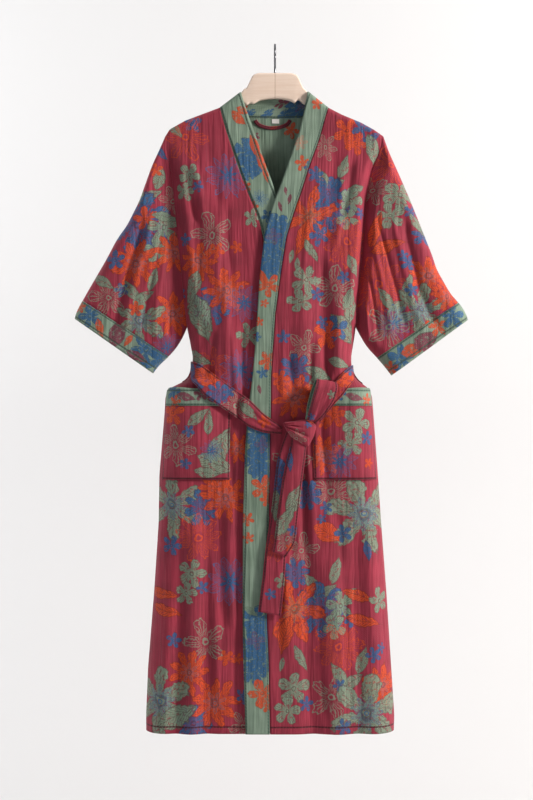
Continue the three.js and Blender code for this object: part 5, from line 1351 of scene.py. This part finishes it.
def hookRings():
    radius = hook["innerRadius"] + hook["wire"] / 2
    path = [(0, -51.7), (0, -46), (1.2, -41), (5.4, -35.2)]
    path += [(radius * math.cos(math.radians(a)), -hook["innerRadius"] + radius * math.sin(math.radians(a)))
             for a in range(-50, 206, 15)]
    keys = np.array(path, float)
    fine = []
    for k in range(len(keys) - 1):  # a smooth curve through the points
        a, b, c, d = keys[max(k - 1, 0)], keys[k], keys[k + 1], keys[min(k + 2, len(keys) - 1)]
        for t in np.arange(0, 1, 0.125):
            fine.append(0.5 * (2 * b + (c - a) * t + (2 * a - 5 * b + 4 * c - d) * t ** 2
                               + (3 * b - a - 3 * c + d) * t ** 3))
    line = np.array(fine + [keys[-1]])
    way = np.gradient(line, axis=0)
    way /= np.linalg.norm(way, axis=1, keepdims=True)
    side = np.stack([-way[:, 1], way[:, 0]], 1)
    angle = 2 * np.pi * np.arange(24) / 24
    r = hook["wire"] / 2
    stations = [(p, n, 1) for p, n in zip(line[:-3], side[:-3])]
    for out, share in ((0.7, 0.94), (1.3, 0.76), (1.75, 0.48), (1.95, 0.2)):  # the tip is ground round
        stations.append((line[-1] - way[-1] * (1.95 - out), side[-1], share))
    rings = [np.stack([share * r * np.cos(angle), p[0] + n[0] * share * r * np.sin(angle),
                       p[1] + n[1] * share * r * np.sin(angle)], 1) for p, n, share in stations]
    return np.array(rings)


smoothSolid("steelHook", hookRings(), steel)
grid = hangLoopGrid()
across = arcLength(grid, 1)
clothShell("hangLoop", grid, robe["hangLoopWall"], outside[:1], stripCloth(grid), floret(3, 40, 7, "orange"),
           (), stitchRows(grid, across - 1, across - 4))
grid = labelGrid()
clothShell("neckLabel", grid, robe["labelWall"], [tape], uprightCloth(grid), ())
print("6/7 hanger, hook, hang loop and label made")

# What each cloth piece stands for, its cut in metres as (width, length), the cut's area where it isn't a
# rectangle, how it is held and what it hangs from or lies on. The cut is what shows, measured on the
# middle of the cloth. The belt is 44 mm wide all along and folded narrower at the knot, and the hang
# loop is 7 mm wide, which only its area can say.
sheets = {
    "backPanel": ("back", "rose_cloth", (0.54, 1.18), 0.516, "hung", ["hanger"]),
    "leftFrontPanel": ("left_front", "rose_cloth", (0.285, 1.21), 0.256, "hung", ["hanger"]),
    "rightFrontPanel": ("right_front", "rose_cloth", (0.275, 1.21), 0.246, "hung", ["hanger"]),
    "leftFrontBand": ("left_front_band", "sage_cloth", (0.048, 1.23), None, "hung", ["left_front"]),
    "rightFrontBand": ("right_front_band", "sage_cloth", (0.048, 1.23), 0.0525, "hung", ["right_front"]),
    "backNeckBand": ("back_neck_band", "sage_cloth", (0.052, 0.23), 0.0092, "hung", ["back"]),
    "leftSleeve": ("left_sleeve", "rose_cloth", (0.76, 0.355), 0.0935, "hung", ["left_front", "back"]),
    "rightSleeve": ("right_sleeve", "rose_cloth", (0.76, 0.355), 0.102, "hung", ["right_front", "back"]),
    "leftCuff": ("left_cuff", "sage_cloth", (0.436, 0.044), 0.0169, "hung", ["left_sleeve"]),
    "rightCuff": ("right_cuff", "sage_cloth", (0.43, 0.044), 0.0172, "hung", ["right_sleeve"]),
    "leftPocket": ("left_pocket", "rose_cloth", (0.14, 0.14), None, "hung", ["left_front"]),
    "rightPocket": ("right_pocket", "rose_cloth", (0.132, 0.14), None, "hung", ["right_front"]),
    "leftPocketBand": ("left_pocket_band", "sage_cloth", (0.143, 0.035), None, "hung", ["left_pocket"]),
    "rightPocketBand": ("right_pocket_band", "sage_cloth", (0.133, 0.034), None, "hung", ["right_pocket"]),
    "beltLeft": ("belt_left", "rose_cloth", (0.044, 0.236), None, "draped", ["left_front"]),
    "beltRight": ("belt_right", "rose_cloth", (0.044, 0.133), 0.0043, "draped", ["right_front"]),
    "beltBack": ("belt_back", "rose_cloth", (0.044, 0.334), None, "draped", ["back"]),
    "beltRearTail": ("belt_rear_tail", "rose_cloth", (0.044, 0.346), None, "hung", ["belt_knot"]),
    "beltFrontTail": ("belt_front_tail", "rose_cloth", (0.044, 0.227), None, "hung", ["belt_knot"]),
    "beltLoop": ("belt_loop", "rose_cloth", (0.044, 0.178), None, "folded", ["belt_knot"]),
    "beltKnot": ("belt_knot", "rose_cloth", (0.044, 0.08), None, "folded", ["left_front_band"]),
    "hangLoop": ("hang_loop", "rose_cloth", (0.0105, 0.079), 0.00056, "hung", ["back"]),
    "neckLabel": ("neck_label", "white_tape", (0.014, 0.01), None, "hung", ["back"]),
}
for name, (node, slot, flat, area, held, rests) in sheets.items():
    piece = pieces[name]
    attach(piece, "root")
    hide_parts(node)
for name, node, slot in (("beechHanger", "hanger", "pale_wood"), ("steelHook", "hook", "grey_steel")):
    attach(pieces[name], "root")
    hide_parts(node)

# Backdrop and floor: one seamless white paper sweep, grey only where the light falls off
studio = {"floorZ": -1.62, "wallY": 1.3, "width": 9.0, "bendRadius": 0.9, "paper": "#DADBDC"}


def paperSweep():
    material, tree = newMaterial("mattPaperSweep")  # matt coated paper roll: even, no gloss
    paper = addNode(tree, "ShaderNodeBsdfPrincipled", {
        "Base Color": linearColour(studio["paper"]), "Roughness": 0.9, "Specular IOR Level": 0.1}).outputs[0]
    clear = addNode(tree, "ShaderNodeBsdfTransparent").outputs[0]
    isRear = addNode(tree, "ShaderNodeNewGeometry").outputs["Backfacing"]
    # Clear for views from behind it
    shader = addNode(tree, "ShaderNodeMixShader", {0: isRear, 1: paper, 2: clear})
    addNode(tree, "ShaderNodeOutputMaterial", {"Surface": shader.outputs[0]})
    radius = studio["bendRadius"]
    bendY = studio["wallY"] - radius
    profile = [(-7.0, studio["floorZ"]), (bendY, studio["floorZ"])]
    for k in range(1, 17):
        a = math.pi / 2 * k / 16
        profile.append((bendY + radius * math.sin(a), studio["floorZ"] + radius * (1 - math.cos(a))))
    profile.append((studio["wallY"], 4.0))
    half = studio["width"] / 2
    points = [(x, y, z) for y, z in profile for x in (-half, half)]
    faces = [(2 * k, 2 * k + 1, 2 * k + 3, 2 * k + 2) for k in range(len(profile) - 1)]
    mesh = bpy.data.meshes.new("paperSweep")
    mesh.from_pydata(points, [], faces)
    mesh.materials.append(material)
    mesh.polygons.foreach_set("use_smooth", [True] * len(faces))
    addObject("paperSweep", mesh)


def softLight(name, place, target, size, power, colour="#FFFFFF"):
    data = bpy.data.lights.new(name, "AREA")
    data.shape = "RECTANGLE"
    data.size, data.size_y = size
    data.energy = power
    data.color = linearColour(colour)[:3]
    light = addObject(name, data)
    light.location = place
    light.rotation_euler = (Vector(target) - Vector(place)).to_track_quat("-Z", "Y").to_euler()


paperSweep()
for lamp in (  # name, place, target, size in metres, watts, colour
        ("keyLight", (2.9, -1.2, 0.7), (0, 0, -0.65), (0.6, 0.9), 156, "#FFF9F4"),
        ("fillLight", (-2.4, -2.2, -0.2), (0, 0, -0.7), (1.2, 1.8), 11, "#F4F8FF"),
        ("topLight", (0, -0.2, 1.6), (0, 0.2, -0.6), (2.0, 1.4), 14),
        ("wallLightLeft", (-1.7, 0.2, 0.0), (-0.2, 1.3, -0.6), (0.6, 2.0), 19),
        ("wallLightRight", (1.7, 0.2, 0.0), (0.2, 1.3, -0.6), (0.6, 2.0), 4)):
    softLight(*lamp)
world = bpy.data.worlds.new("studioRoom")
bpy.context.scene.world = world
world.use_nodes = True
roomLight = world.node_tree.nodes["Background"].inputs
roomLight["Color"].default_value, roomLight["Strength"].default_value = linearColour("#F3F4F6"), 0.08

cameraData = bpy.data.cameras.new("photoCamera")
cameraData.lens, cameraData.sensor_width = 75, 36  # mm
cameraData.sensor_fit = "AUTO"
camera = addObject("photoCamera", cameraData)
camera.location = (-0.0163, -3.2, -0.6797)
camera.rotation_euler = (math.pi / 2, 0, 0)
bpy.context.scene.camera = camera
bpy.context.scene.view_settings.view_transform = "Standard"
print("7/7 studio, lights and camera set")
